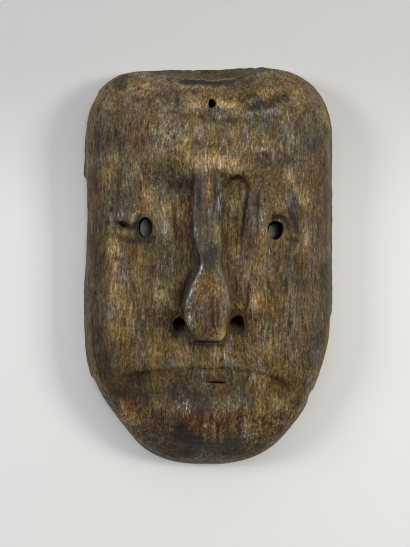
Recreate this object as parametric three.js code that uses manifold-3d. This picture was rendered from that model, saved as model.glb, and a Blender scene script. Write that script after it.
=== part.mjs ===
// A carved wooden face mask, lying face up on the flat rim of its hollow back.
// Millimetres. +X is the right of the face as it is looked at, +Y the crown, +Z out of the face.
// The origin is the middle of the footprint, on the surface that the rim rests on.
import * as THREE from "three";
import { mergeVertices } from "three/addons/utils/BufferGeometryUtils.js";
import Module from "manifold-3d";

// Driving dimensions of the block
const LENGTH = 220;
const WIDTH = 138;
const EDGE_HEIGHT = 9; // where the face meets the side wall
const WALL_DRAFT = 2.4; // how far the side wall leans in between the rim and that edge
const RIM_EASE = 0.8; // the worn lower edge of the side wall
const RIM_EASE_HEIGHT = 2;

// Outline: a flat crown with round corners, straight temples and a half-ellipse for the jaw
const CROWN_Y = LENGTH / 2;
const CHIN_Y = -LENGTH / 2;
const CROWN_HALF = 30; // half the flat stretch of the crown
const CORNER_Y = 68; // the crown's corners start here
const CORNER_FULLNESS = 2.6; // exponent of those corners: 2 is an ellipse
const CROWN_DROP = 1.6; // the crown sags this much between its left corner and its peak on the right
const CROWN_SAG = { from: -50, full: -34, until: 0, peak: 29 };
const JAW_Y = -30; // the jaw's half-ellipse starts here
const CHIN_HALF = 8; // half the flat at the very tip of the chin
const CHIN_SQUARE = { left: 6.2, right: 4.4 }; // how much fuller than an ellipse the chin is
const JAW_LEAN = -1.7; // the jaw stands a little to the left
const JAW_LEAN_Y = -66;
const JAW_LEAN_REACH = 18;

// Places where the edge has broken or worn away: side -1 is the left
const EDGE_WEAR = [
  { side: -1, y: 96, reach: 46, depth: 1.2 },
  { side: -1, y: 48.5, reach: 62, depth: 3.8 },
  { side: -1, y: -62, reach: 34, depth: 2 },
  { side: 1, y: -27, reach: 52, depth: 1.4 },
  { side: 1, y: -69.5, reach: 8, depth: 0.9 },
];
const UPPER_WEAR = 0.4; // the share of that wear that the upper edge of the wall shows

// Heights of the face along its middle line, from the chin to the crown, without nose, lip and boss
const FACE_CREST = [
  [-107.6, 10],
  [-104, 15],
  [-97, 21.5],
  [-86, 27],
  [-68, 31],
  [-50, 33.5],
  [0, 34.5],
  [38, 36],
  [58, 38],
  [74, 36.5],
  [86, 32.5],
  [95, 27.5],
  [110, 17],
];
const FACE_ROUNDNESS = 2.3; // exponent of the cross-section: 2 is an ellipse

// The crown is cut back in a shallow scoop, steeper towards the corners
const CROWN_CUT_SLOPE = 1.93;
const CROWN_CUT_SPREAD = { left: 36, right: 42 };
const CROWN_CUT_BLEND = 1.6;

// Brow ridge
const BROW_Y = 53;
const BROW_RISE = 2;
const BROW_DEPTH = 9;
const BROW_HALF = 40;

// Nose: height, half width and middle line, from the tip up to the brow
const NOSE_CREST = [
  [-43, 4],
  [-40.6, 22],
  [-38.9, 41.5],
  [-36.5, 46.6],
  [-31, 49.4],
  [-20, 49.6],
  [-8, 46.4],
  [3, 42.6],
  [15, 41.4],
  [30, 41],
  [46, 40.2],
  [58, 34],
  [70, 4],
];
const NOSE_HALF = [
  [-38, 7.6],
  [-34.5, 9.1],
  [-31.5, 10.4],
  [-27.5, 11.5],
  [-22.5, 11.9],
  [-17.5, 11.2],
  [-12.5, 10],
  [-7.5, 8.3],
  [-2.5, 6.8],
  [1, 6.2],
  [5, 6.7],
  [10, 7.7],
  [18, 7.9],
  [33, 7.4],
  [46, 8.4],
  [58, 12],
];
const NOSE_MIDDLE = [
  [-38, 0.7],
  [-32, -0.4],
  [-21, -0.5],
  [-12, 0.3],
  [-2, 1.6],
  [4, 1.4],
  [14, 0.1],
  [26, -0.6],
  [46, 0],
];
const NOSE_CROWN = { fall: 2.2, bend: 3 }; // how its top falls off from the middle to the edge
const NOSE_SIDE = 19;
const NOSE_SIDE_WIDTH = { left: 2.4, right: 5.5 };
const NOSE_BLEND = 2;

// Troughs between the bridge of the nose and the eyes
const TROUGH = { x: 14.2, top: 37.6, radius: 7.7, taper: 0.11, depth: 2.2, fadeFrom: 24, fadeTo: -14 };
const TROUGH_EDGE = { left: 5, right: 1.6 };

// Eyes: low mounds, each with a hole, and an open slit on the left. The right hole narrows to a neck.
const EYES = [
  { x: -32.5, y: 19.4, half: [3.6, 5.2] },
  { x: 35.1, y: 18.2, half: [4.1, 4.6], neck: [0.68, 0.86] },
];
const NECK_DEPTH = 11;
const EYE_MOUND = { rise: 2.2, reach: [13, 11] };
const EYE_DISH = { depth: 1.8, reach: 6.2 };
const EYE_SLIT = { from: -51, to: -36, y: 20.8, half: 1.3, depth: 1.5 };
const EYE_PIT = { x: -44.8, y: 20.9, radius: 1.9, depth: 2.2 };

// Wings of the nose, with a nostril hole below each
const WINGS = [
  { x: -23.6, y: -16.6 },
  { x: 22.2, y: -18.4 },
];
const WING = { rise: 2.6, reach: [7.5, 9.5] };
const NOSTRILS = [
  { x: -15.1, y: -30, half: [3.3, 3.4] },
  { x: 15, y: -29.4, half: [4, 3.6] },
];
const NOSTRIL_SLANT = 0.85; // how far a nostril moves up the face for each millimetre down
const NOSTRIL_DISH = { depth: 3, reach: 5 };

// Mouth: a ledge that droops to both corners, and a recess below it
const MOUTH = {
  y: -52.6,
  droop: { left: 5.5, right: 8.8 },
  reach: { left: 47, right: 42 },
  bend: 3,
  middleStep: 1.1,
  cornerStep: 2.6,
  corner: 35,
  cornerSpread: 8.5,
  edge: 2.6,
  recessFrom: 6,
  recessTo: 22,
};
const MOUTH_SLIT = { x: 4.6, y: -61.3, length: 8.6, width: 1.1, depth: 7, lean: -3 };

// Boss of the lower lip and chin
const BOSS = { x: -1, y: -80.5, half: [35, 20], rise: 7.2, flatness: 2.1, softness: 1.5 };

// Square nail hole in the forehead, on its corner, from which the mask hangs
const NAIL_HOLE = { x: 1.9, y: 83.8, half: [1.9, 2.9] };
const NAIL_HOLE_SLANT = -0.25;

// Hollow back
const HOLLOW = {
  half: 56,
  bottom: -95,
  top: 90,
  edge: 3,
  crest: [
    [-95, 3],
    [-86, 12],
    [-70, 18.5],
    [-40, 22],
    [-20, 25],
    [0, 24],
    [40, 24],
    [62, 23],
    [80, 14],
    [90, 3],
  ],
};
const HOLLOW_ROUNDNESS = 2.4;

// Cutting bodies reach past both faces of the block, and the holes they leave widen upwards
const CUTTER_LENGTH = 90;
const HOLE_FLARE = { above: 1.12, face: 1.045, back: 1.01 };
const CUT_BELOW = -5;
const CUT_ABOVE = 62;

// Fineness of the mesh: its columns follow the nose, and its rows the droop of the mouth
const NOSE_COLUMNS = 16;
const CHEEK_COLUMNS = 14;
const NOSE_ZONE = 3.2; // how far past the nose's half width its columns reach
const NOSE_ZONE_SHARE = 0.36;
const ROW_DROOP_REACH = 34;
const EDGE_CROWDING = 0.3;
const END_CROWDING = 0.85;
const FACE_ROWS = [
  { to: -98, rows: 5 },
  { to: -66, rows: 8 },
  { to: -50, rows: 9 },
  { to: -41, rows: 2 },
  { to: -33, rows: 6 },
  { to: 28, rows: 16 },
  { to: 50, rows: 8 },
  { to: 88, rows: 8 },
  { to: CROWN_Y, rows: 8 },
];
const HOLLOW_COLUMNS = 22;
const HOLLOW_ROWS = 30;
const HOLE_SIDES = 16;
const WELD = 1e-4;
const GRID = 0.02; // points are rounded to this, which keeps straight stretches straight

const wasm = await Module();
wasm.setup();

const clamp = (t, low, high) => Math.min(high, Math.max(low, t));
const sideName = (x) => (x < 0 ? "left" : "right");
const rounded = (point) => point.map((v) => Math.round(v / GRID) * GRID);
const fall = (t) => Math.exp(-t * t);

// 0 up to a, 1 from b on, smooth between
function ramp(a, b, t) {
  const k = clamp((t - a) / (b - a), 0, 1);
  return k * k * (3 - 2 * k);
}

// The larger of two heights, with a round joint of that radius; the smaller one likewise
function softMax(a, b, radius) {
  const h = Math.max(radius - Math.abs(a - b), 0) / radius;
  return Math.max(a, b) + (h * h * radius) / 4;
}
const softMin = (a, b, radius) => -softMax(-a, -b, radius);

// A smooth curve through [position, value] stations
function along(stations, y) {
  const last = stations.length - 1;
  if (y <= stations[0][0]) return stations[0][1];
  if (y >= stations[last][0]) return stations[last][1];
  let k = 0;
  while (y > stations[k + 1][0]) k++;
  const slope = (i) => {
    const [ya, va] = stations[Math.max(i - 1, 0)];
    const [yb, vb] = stations[Math.min(i + 1, last)];
    return (vb - va) / (yb - ya);
  };
  const [y0, v0] = stations[k];
  const [y1, v1] = stations[k + 1];
  const step = y1 - y0;
  const t = (y - y0) / step;
  return (
    v0 * (1 + 2 * t) * (1 - t) ** 2 +
    v1 * t * t * (3 - 2 * t) +
    slope(k) * step * t * (1 - t) ** 2 -
    slope(k + 1) * step * t * t * (1 - t)
  );
}

// Outline of the rim: its middle line, and its reach to one side
const middleLine = (y) => JAW_LEAN * fall((y - JAW_LEAN_Y) / JAW_LEAN_REACH);

function evenReach(side, y) {
  const full = WIDTH / 2;
  if (y > CORNER_Y) {
    const t = (y - CORNER_Y) / (CROWN_Y - CORNER_Y);
    return CROWN_HALF + (full - CROWN_HALF) * Math.sqrt(Math.max(0, 1 - t ** CORNER_FULLNESS));
  }
  if (y < JAW_Y) {
    const t = (JAW_Y - y) / (JAW_Y - CHIN_Y);
    const square = CHIN_SQUARE[sideName(side)] * ramp(0.72, 1, t);
    return Math.max(CHIN_HALF, full * Math.sqrt(Math.max(0, 1 - t * t)) + square);
  }
  return full;
}

// How far the crown's end is pushed down at a point
function bend(x, y) {
  const across = ramp(CROWN_SAG.from, CROWN_SAG.full, x) * (1 - ramp(CROWN_SAG.until, CROWN_SAG.peak, x));
  return CROWN_DROP * across * ramp(CORNER_Y, CROWN_Y, y);
}

// A break is abrupt at its upper end and dies out downwards
function edgeWear(side, y) {
  let worn = 0;
  for (const w of EDGE_WEAR) {
    if (w.side !== side) continue;
    const t = (w.y - y) / w.reach;
    worn += w.depth * ramp(-0.03, 0.06, t) * (1 - ramp(0.3, 1, t));
  }
  return worn;
}
const reach = (side, y, wear = 1) =>
  evenReach(side, y) - wear * edgeWear(side, y) + side * middleLine(y);

// Cross-section of the face from the middle, 1, to the edge, 0
const section = (s, roundness) =>
  (1 - Math.min(1, Math.abs(s)) ** roundness) ** (1 / roundness);

const EDGE_SCALE_X = 1 - (2 * WALL_DRAFT) / WIDTH;
const EDGE_SCALE_Y = 1 - (2 * WALL_DRAFT) / LENGTH;

function block(x, y) {
  const side = x < 0 ? -1 : 1;
  const s = Math.abs(x) / (EDGE_SCALE_X * reach(side, y / EDGE_SCALE_Y, 0));
  return EDGE_HEIGHT + (along(FACE_CREST, y) - EDGE_HEIGHT) * section(s, FACE_ROUNDNESS);
}

const brow = (x, y) =>
  BROW_RISE * fall((y - BROW_Y) / BROW_DEPTH) * (1 - ramp(0.5, 1, Math.abs(x) / BROW_HALF));

// A trough is a slot with a round upper end, which draws in towards the nose going down
function trough(x, y) {
  const out = Math.abs(x) - TROUGH.x + TROUGH.taper * Math.max(TROUGH.top - y, 0);
  const away = Math.hypot(out, Math.max(y - TROUGH.top, 0));
  const edge = TROUGH_EDGE[sideName(x)];
  const inside = 1 - ramp(TROUGH.radius - edge, TROUGH.radius + 0.5, away);
  return TROUGH.depth * inside * ramp(TROUGH.fadeTo, TROUGH.fadeFrom, y);
}

function eyes(x, y) {
  let z = 0;
  for (const eye of EYES) {
    const dx = x - eye.x;
    const dy = y - eye.y;
    z += EYE_MOUND.rise * fall(Math.hypot(dx / EYE_MOUND.reach[0], dy / EYE_MOUND.reach[1]));
    z -= EYE_DISH.depth * fall(Math.hypot(dx, dy) / EYE_DISH.reach);
  }
  z -= EYE_PIT.depth * fall(Math.hypot(x - EYE_PIT.x, y - EYE_PIT.y) / EYE_PIT.radius);
  const slit = ramp(EYE_SLIT.from, EYE_SLIT.from + 8, x) * (1 - ramp(EYE_SLIT.to, EYE_SLIT.to + 5, x));
  return z - EYE_SLIT.depth * slit * fall((y - EYE_SLIT.y) / EYE_SLIT.half);
}

function wings(x, y) {
  let z = 0;
  for (const w of WINGS)
    z += WING.rise * fall(Math.hypot((x - w.x) / WING.reach[0], (y - w.y) / WING.reach[1]));
  for (const n of NOSTRILS)
    z -= NOSTRIL_DISH.depth * fall(Math.hypot(x - n.x, y - n.y) / NOSTRIL_DISH.reach);
  return z;
}

function droop(x) {
  const side = sideName(x);
  return MOUTH.droop[side] * Math.min(1.1, Math.abs(x) / MOUTH.reach[side]) ** MOUTH.bend;
}

// How far the recess of the mouth lies below the face
function mouth(x, y) {
  const far = Math.abs(x) / MOUTH.reach[sideName(x)];
  const below = MOUTH.y - droop(x) - y;
  const corner = fall((Math.abs(x) - MOUTH.corner) / MOUTH.cornerSpread);
  const step = Math.max(MOUTH.middleStep * (1 - ramp(0.6, 1.1, far)), MOUTH.cornerStep * corner);
  return step * ramp(0, MOUTH.edge, below) * (1 - ramp(MOUTH.recessFrom, MOUTH.recessTo, below));
}

function boss(x, y) {
  const away = Math.hypot((x - BOSS.x) / BOSS.half[0], (y - BOSS.y) / BOSS.half[1]);
  return BOSS.rise * (1 - Math.min(1, away) ** BOSS.flatness) ** BOSS.softness;
}

function nose(x, y) {
  const off = x - along(NOSE_MIDDLE, y);
  const half = along(NOSE_HALF, y);
  const width = NOSE_SIDE_WIDTH[sideName(off)];
  const side = ramp(half - width / 2, half + width / 2, Math.abs(off));
  const crown = NOSE_CROWN.fall * Math.abs(off / half) ** NOSE_CROWN.bend;
  return along(NOSE_CREST, y) - crown - NOSE_SIDE * side;
}

const crownCut = (x, y) =>
  (CROWN_Y - y) * CROWN_CUT_SLOPE * (1 + (x / CROWN_CUT_SPREAD[sideName(x)]) ** 2);

// Height of the carved face over the rim
function face(x, bentY) {
  const y = bentY + bend(x, bentY);
  let z = block(x, y) + brow(x, y) + eyes(x, y) + wings(x, y) + boss(x, y);
  z -= trough(x, y) + mouth(x, y);
  z = softMax(z, nose(x, y), NOSE_BLEND);
  return softMin(z, crownCut(x, y), CROWN_CUT_BLEND);
}

// The hollow's outline is the rim's, moved in
const hollowScaleX = HOLLOW.half / (WIDTH / 2);
const hollowScaleY = (HOLLOW.top - HOLLOW.bottom) / LENGTH;
const hollowMiddle = (HOLLOW.top + HOLLOW.bottom) / 2;
const hollowReach = (side, y) =>
  hollowScaleX * (evenReach(side, (y - hollowMiddle) / hollowScaleY) + side * middleLine(y));

// Height of the hollow's ceiling over the rim
function ceiling(x, y) {
  const s = Math.abs(x) / hollowReach(x < 0 ? -1 : 1, y);
  const crest = along(HOLLOW.crest, y);
  return HOLLOW.edge + (crest - HOLLOW.edge) * section(s, HOLLOW_ROUNDNESS);
}

// Columns from the left edge, -1, to the right one, 1
function faceColumns() {
  const half = [];
  for (let i = 1; i <= NOSE_COLUMNS / 2; i++)
    half.push((NOSE_ZONE_SHARE * i) / (NOSE_COLUMNS / 2));
  for (let i = 1; i <= CHEEK_COLUMNS; i++) {
    const t = i / CHEEK_COLUMNS;
    half.push(NOSE_ZONE_SHARE + (1 - NOSE_ZONE_SHARE) * t * (1 + EDGE_CROWDING * (1 - t)));
  }
  return [...half.map((s) => -s).reverse(), 0, ...half];
}

// Stations from -1 to 1, closer together towards both ends
function crowdedEnds(count) {
  const list = [];
  for (let i = 0; i <= count; i++)
    list.push(Math.sin(END_CROWDING * (i / count - 0.5) * Math.PI) / Math.sin(END_CROWDING * Math.PI / 2));
  return list;
}

function rows(from, stretches) {
  const list = [from];
  let start = from;
  for (const stretch of stretches) {
    for (let i = 1; i <= stretch.rows; i++)
      list.push(start + ((stretch.to - start) * i) / stretch.rows);
    start = stretch.to;
  }
  return list;
}

// A closed block: a grid of heights on top, walls around it in the given rings, and a flat bottom.
// place(s, y) says where a grid point stands, and each ring carries the points of the edge down.
function closedBlock(columnList, rowList, place, height, rings) {
  const across = columnList.length;
  const up = rowList.length;
  const points = [];
  const faces = [];
  for (const y of rowList)
    for (const s of columnList) {
      const [px, py] = place(s, y);
      points.push(rounded([px, py, height(px, py)]));
    }
  for (let j = 0; j + 1 < up; j++)
    for (let i = 0; i + 1 < across; i++) {
      const a = j * across + i;
      const [b, c, d] = [a + 1, a + across + 1, a + across];
      // The shorter diagonal follows the carving better
      const gap = (p, q) => Math.abs(points[p][2] - points[q][2]);
      if (gap(a, c) < gap(b, d)) faces.push([a, b, c], [a, c, d]);
      else faces.push([a, b, d], [b, c, d]);
    }
  let loop = [];
  for (let i = 0; i < across - 1; i++) loop.push(i);
  for (let j = 0; j < up - 1; j++) loop.push(j * across + across - 1);
  for (let i = across - 1; i > 0; i--) loop.push((up - 1) * across + i);
  for (let j = up - 1; j > 0; j--) loop.push(j * across);
  for (const ring of rings) {
    const next = loop.map((p) => {
      points.push(rounded(ring(points[p])));
      return points.length - 1;
    });
    loop.forEach((p, n) => {
      const m = (n + 1) % loop.length;
      faces.push([p, next[n], next[m]], [p, next[m], loop[m]]);
    });
    loop = next;
  }
  const outline = loop.map((p) => new THREE.Vector2(points[p][0], points[p][1]));
  for (const [a, b, c] of THREE.ShapeUtils.triangulateShape(outline, []))
    faces.push([loop[a], loop[c], loop[b]]);
  const geometry = new THREE.BufferGeometry();
  geometry.setAttribute("position", new THREE.Float32BufferAttribute(points.flat(), 3));
  geometry.setIndex(faces.flat());
  return geometry;
}

// A point of the face: s runs across from -1 to 1, and y up along the outline
function facePlace(s, y) {
  const side = s < 0 ? -1 : 1;
  const share = Math.abs(s);
  const out = (share * WIDTH) / 2;
  const lowered = droop(side * out) * (1 - ramp(0, ROW_DROOP_REACH, Math.abs(y - MOUTH.y)));
  const py = EDGE_SCALE_Y * (y - lowered);
  const far = EDGE_SCALE_X * reach(side, y - lowered, UPPER_WEAR);
  const middle = along(NOSE_MIDDLE, py);
  const zone = Math.min(along(NOSE_HALF, py) + NOSE_ZONE, NOSE_ZONE_SHARE * far);
  const rest = clamp((share - NOSE_ZONE_SHARE) / (1 - NOSE_ZONE_SHARE), 0, 1);
  const start = middle + side * zone;
  const px =
    share < NOSE_ZONE_SHARE ? middle + (zone * s) / NOSE_ZONE_SHARE : start + (side * far - start) * rest;
  return [px, py - bend(px, py)];
}

function carvedBlock() {
  const grow = 1 / EDGE_SCALE_X;
  const growY = 1 / EDGE_SCALE_Y;
  const ease = 1 - (2 * RIM_EASE) / WIDTH;
  const rimX = (x, y) => {
    const side = x < 0 ? -1 : 1;
    const worn = (1 - UPPER_WEAR) * edgeWear(side, y) * ramp(0.8, 1, Math.abs(x) / reach(side, y));
    return x - side * worn;
  };
  const rings = [
    ([x, y]) => [rimX(x * grow, y * growY), y * growY, RIM_EASE_HEIGHT],
    ([x, y]) => [x * ease, y * ease, 0],
  ];
  return closedBlock(faceColumns(), rows(CHIN_Y, FACE_ROWS), facePlace, face, rings);
}

function hollow() {
  const place = (s, y) => [s * hollowReach(s < 0 ? -1 : 1, y), y];
  const down = ([x, y]) => [x, y, CUT_BELOW];
  const half = (HOLLOW.top - HOLLOW.bottom) / 2;
  const rowList = crowdedEnds(HOLLOW_ROWS).map((t) => hollowMiddle + half * t);
  return closedBlock(crowdedEnds(HOLLOW_COLUMNS), rowList, place, ceiling, [down]);
}

// A hole of elliptical section, wider at the face; slant is how far it moves up Y for each millimetre down,
// and neck the share of its width and height that is left from the neck on
function hole({ x, y, half, neck = [1, 1] }, slant = 0, sides = HOLE_SIDES) {
  const top = face(x, y);
  const levels = [
    { z: CUT_BELOW, flare: HOLE_FLARE.back, share: neck },
    { z: top - NECK_DEPTH, flare: HOLE_FLARE.back, share: neck },
    { z: top, flare: HOLE_FLARE.face, share: [1, 1] },
    { z: CUT_ABOVE, flare: HOLE_FLARE.above, share: [1, 1] },
  ];
  const steps = levels.length - 1;
  const geometry = new THREE.CylinderGeometry(1, 1, steps, sides, steps);
  geometry.rotateX(Math.PI / 2);
  const at = geometry.attributes.position;
  for (let i = 0; i < at.count; i++) {
    const { z, flare, share } = levels[Math.round(at.getZ(i) + steps / 2)];
    const wide = half[0] * share[0] * flare * at.getX(i);
    const high = half[1] * share[1] * flare * at.getY(i);
    at.setXYZ(i, x + wide, y + high + slant * (top - z), z);
  }
  return geometry;
}

function mouthSlit() {
  const { x, y, length, width, depth, lean } = MOUTH_SLIT;
  const slit = new THREE.BoxGeometry(length, width, CUTTER_LENGTH);
  slit.rotateZ(THREE.MathUtils.degToRad(lean));
  return slit.translate(x, y, face(x, y) - depth + CUTTER_LENGTH / 2);
}

function toSolid(geometry) {
  const plain = geometry.clone();
  plain.deleteAttribute("normal");
  plain.deleteAttribute("uv");
  const merged = mergeVertices(plain, WELD);
  return new wasm.Manifold(
    new wasm.Mesh({
      numProp: 3,
      vertProperties: new Float32Array(merged.attributes.position.array),
      triVerts: new Uint32Array(merged.index.array),
    }),
  );
}

function toGeometry(solid) {
  const mesh = solid.getMesh();
  const geometry = new THREE.BufferGeometry();
  geometry.setAttribute("position", new THREE.BufferAttribute(mesh.vertProperties, 3));
  geometry.setIndex(new THREE.BufferAttribute(mesh.triVerts, 1));
  return geometry;
}

function carveMask() {
  let solid = toSolid(carvedBlock()).subtract(toSolid(hollow()));
  for (const eye of EYES) solid = solid.subtract(toSolid(hole(eye)));
  for (const nostril of NOSTRILS) solid = solid.subtract(toSolid(hole(nostril, NOSTRIL_SLANT)));
  solid = solid.subtract(toSolid(hole(NAIL_HOLE, NAIL_HOLE_SLANT, 4)));
  return toGeometry(solid.subtract(toSolid(mouthSlit())));
}

const wood = new THREE.MeshStandardMaterial({ color: 0x5e4f38, roughness: 0.6, metalness: 0 });

const mask = new THREE.Mesh(carveMask(), wood);
mask.name = "mask";

const root = new THREE.Group();
root.add(mask);

export default root;
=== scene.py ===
"""A carved wooden face mask with an old dark patina, lying face up on a pale floor.

The mask's surface repeats the solid's form from the same named sizes, and adds the finer relief:
grain, tool marks, splits, worm holes, chipped edges and a worn rim. Sizes are in millimetres until
a mesh is made, except where a comment says metres.
"""

import math

import bpy
import numpy as np
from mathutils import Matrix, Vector


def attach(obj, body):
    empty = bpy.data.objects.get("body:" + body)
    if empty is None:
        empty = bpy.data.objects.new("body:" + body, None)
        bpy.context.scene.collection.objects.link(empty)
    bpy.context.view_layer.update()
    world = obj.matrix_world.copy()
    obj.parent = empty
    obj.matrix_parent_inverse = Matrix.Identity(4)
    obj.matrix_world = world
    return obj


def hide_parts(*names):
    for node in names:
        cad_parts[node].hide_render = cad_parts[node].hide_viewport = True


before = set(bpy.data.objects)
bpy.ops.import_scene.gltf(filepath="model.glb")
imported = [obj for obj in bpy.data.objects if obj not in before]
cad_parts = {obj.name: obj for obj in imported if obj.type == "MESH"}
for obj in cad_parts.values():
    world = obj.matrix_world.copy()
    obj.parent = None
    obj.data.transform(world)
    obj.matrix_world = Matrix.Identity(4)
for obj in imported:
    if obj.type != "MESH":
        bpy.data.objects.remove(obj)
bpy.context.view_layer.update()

MM = 0.001

# Driving dimensions, as on the solid
LENGTH = 220
WIDTH = 138
EDGE_HEIGHT = 9
WALL_DRAFT = 2.4
RIM_EASE = 0.8
RIM_EASE_HEIGHT = 2

# Outline: a flat crown with round corners, straight temples and a half-ellipse for the jaw.
# Where the sides differ, the left one comes first, here and below.
CROWN_Y = LENGTH / 2
CHIN_Y = -LENGTH / 2
CROWN_HALF = 30
CORNER_Y = 68
CORNER_FULLNESS = 2.6
CROWN_DROP = 1.6
CROWN_SAG = (-50, -34)
CROWN_PEAK = (0, 29)
JAW_Y = -30
CHIN_HALF = 8
CHIN_SQUARE = (6.2, 4.4)
CHIN_SQUARE_FROM = 0.72
JAW_LEAN = -1.7
JAW_LEAN_Y = -66
JAW_LEAN_REACH = 18

# Where the edge has broken away: side, y, reach, depth
EDGE_WEAR = [
    (-1, 96, 46, 1.2), (-1, 48.5, 62, 3.8), (-1, -62, 34, 2), (1, -27, 52, 1.4), (1, -69.5, 8, 0.9),
]
# The shares of its reach over which a break starts and fades out
BREAK_START = (-0.03, 0.06)
BREAK_FADE = (0.3, 1)
# The share of it that the upper edge of the wall shows, and how far out the rest shows at the foot
UPPER_WEAR = 0.4
FOOT_WEAR = (0.8, 1)

# Roughness of the outline, and its waves: strength, length, seed
EDGE_ROUGHNESS = 0.0028
EDGE_WAVES = [(1, 5, 91), (0.6, 1.9, 92)]
EDGE_WAVE_BEND = 8
SIDE_APART = 9

# The crumbled edge of the crown
CRUMBLE_DEPTH = 0.3
CRUMBLE_LENGTH = 3.3
CRUMBLE_SEED = 95
CRUMBLE_SHARE = 0.3
CRUMBLE_Y = (96, 107)
PEAK_HALF = 2.5
# Nicks: x, half width, depth
CROWN_NICKS = [(-32, 3, 0.7), (25, 1.6, 0.5), (36, 3, 0.5), (-8, 1.2, 0.3)]

# Heights of the face along its middle line
FACE_CREST = [
    (-107.6, 10), (-104, 15), (-97, 21.5), (-86, 27), (-68, 31), (-50, 33.5), (0, 34.5), (38, 36), (58, 38),
    (74, 36.5), (86, 32.5), (95, 27.5), (110, 17),
]
FACE_ROUNDNESS = 2.3

CROWN_CUT_SLOPE = 1.93
CROWN_CUT_SPREAD = (36, 42)
CROWN_CUT_BLEND = 1.6

BROW_Y = 53
BROW_RISE = 2
BROW_DEPTH = 9
BROW_HALF = 40
BROW_FADE = (0.5, 1)

# Nose: height, half width and middle line, from the tip up to the brow
NOSE_CREST = [
    (-43, 4), (-40.6, 22), (-38.9, 41.5), (-36.5, 46.6), (-31, 49.4), (-20, 49.6), (-8, 46.4), (3, 42.6),
    (15, 41.4), (30, 41), (46, 40.2), (58, 34), (70, 4),
]
NOSE_HALF = [
    (-38, 7.6), (-34.5, 9.1), (-31.5, 10.4), (-27.5, 11.5), (-22.5, 11.9), (-17.5, 11.2), (-12.5, 10),
    (-7.5, 8.3), (-2.5, 6.8), (1, 6.2), (5, 6.7), (10, 7.7), (18, 7.9), (33, 7.4), (46, 8.4), (58, 12),
]
NOSE_MIDDLE = [
    (-38, 0.7), (-32, -0.4), (-21, -0.5), (-12, 0.3), (-2, 1.6), (4, 1.4), (14, 0.1), (26, -0.6), (46, 0),
]
NOSE_CROWN = 2.2
NOSE_CROWN_BEND = 3
NOSE_SIDE = 19
NOSE_SIDES = (2.4, 5.5)
NOSE_BLEND = 2

# Troughs between the bridge of the nose and the eyes
TROUGH_X = 14.2
TROUGH_TOP = 37.6
TROUGH_RADIUS = 7.7
TROUGH_TAPER = 0.11
TROUGH_DEPTH = 2.2
TROUGH_FADE = (-14, 24)
TROUGH_EDGE = (5, 1.6)
TROUGH_LIP = 0.5

# Eyes: x, y, half width and half height of the hole. The right hole narrows to a neck.
EYES = [(-32.5, 19.4, 3.6, 5.2), (35.1, 18.2, 4.1, 4.6)]
EYE_NECK = (0.68, 0.86)
NECK_DEPTH = 11
EYE_MOUND = 2.2
EYE_MOUND_REACH = (13, 11)
EYE_DISH = 1.8
EYE_DISH_REACH = (6.2, 6.2)
EYE_SLIT_X = (-51, -36)
EYE_SLIT_Y = 20.8
EYE_SLIT_HALF = 1.3
EYE_SLIT_DEPTH = 1.5
EYE_SLIT_FADES = (8, 5)
EYE_PIT = (-44.8, 20.9)
EYE_PIT_REACH = (1.9, 1.9)
EYE_PIT_DEPTH = 2.2

WINGS = [(-23.6, -16.6), (22.2, -18.4)]
WING_RISE = 2.6
WING_REACH = (7.5, 9.5)
NOSTRILS = [(-15.1, -30, 3.3, 3.4), (15, -29.4, 4, 3.6)]
NOSTRIL_SLANT = 0.85
NOSTRIL_DISH = 3
NOSTRIL_DISH_REACH = (5, 5)

# Mouth: a ledge that droops to both corners, and a recess below it
MOUTH_Y = -52.6
DROOP = (5.5, 8.8)
MOUTH_REACH = (47, 42)
MOUTH_BEND = 3
MOUTH_END = 1.1
MIDDLE_STEP = 1.1
MIDDLE_STEP_FROM = 0.6
CORNER_STEP = 2.6
MOUTH_CORNER = 35
CORNER_SPREAD = 8.5
LEDGE_EDGE = 2.6
RECESS_FROM = 6
RECESS_TO = 22
MOUTH_SLIT = (4.6, -61.3, 4.3, 0.55)
MOUTH_SLIT_LEAN = -3
MOUTH_SLIT_FLOOR = 24

# Boss of the lower lip and chin
BOSS = (-1, -80.5)
BOSS_HALF = (35, 20)
BOSS_RISE = 7.2
BOSS_FLATNESS = 2.1
BOSS_SOFTNESS = 1.5

NAIL_HOLE = (1.9, 83.8, 1.9, 2.9)
NAIL_HOLE_SLANT = -0.25

HOLE_FLARE = (1.01, 1.045, 1.12)
CUT_ABOVE = 62
CUT_BELOW = -6
CUT_LEVELS = 14
# The rough outline of a hole follows a circle through the noise
HOLE_ROUGHNESS = 0.05
ROUGH_PLACE = 9
ROUGH_RADIUS = 1.7
ROUGH_RISE = 6

# Hollow back
HOLLOW_HALF = 56
HOLLOW_BOTTOM = -95
HOLLOW_TOP = 90
HOLLOW_EDGE = 3
HOLLOW_CREST = [
    (-95, 3), (-86, 12), (-70, 18.5), (-40, 22), (-20, 25), (0, 24), (40, 24), (62, 23), (80, 14), (90, 3),
]
HOLLOW_ROUNDNESS = 2.4
GOUGE_WIDTH = 8.5
GOUGE_LENGTH = 17
GOUGE_DEPTH = 0.7
# How the rows of scoops sway, differ in length and are set off, and how round a scoop is
GOUGE_SWAY = 0.35
GOUGE_SWAY_SIZE = (17, 23)
GOUGE_UNEVEN = 0.5
GOUGE_UNEVEN_SIZE = 60
GOUGE_OFFSET = 0.37
GOUGE_ROUND = (3.2, 1.6)
GOUGE_SEED = 101
GOUGE_GRAIN = [(0.15, 2.2, 103, 2, 4)]

# Fineness of the mesh
NOSE_COLUMNS = 60
CHEEK_COLUMNS = 100
ROWS = 240
WALL_RINGS = 7
NOSE_ZONE = 3.2
NOSE_ZONE_SHARE = 0.26
EDGE_CROWDING = 1.35
HOLLOW_CROWDING = 0.42
# The finer relief dies out over this share of the width at an edge
RELIEF_EDGE = 0.06
GOUGE_EDGE = 0.12
SHARP_ANGLE = 55


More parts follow.
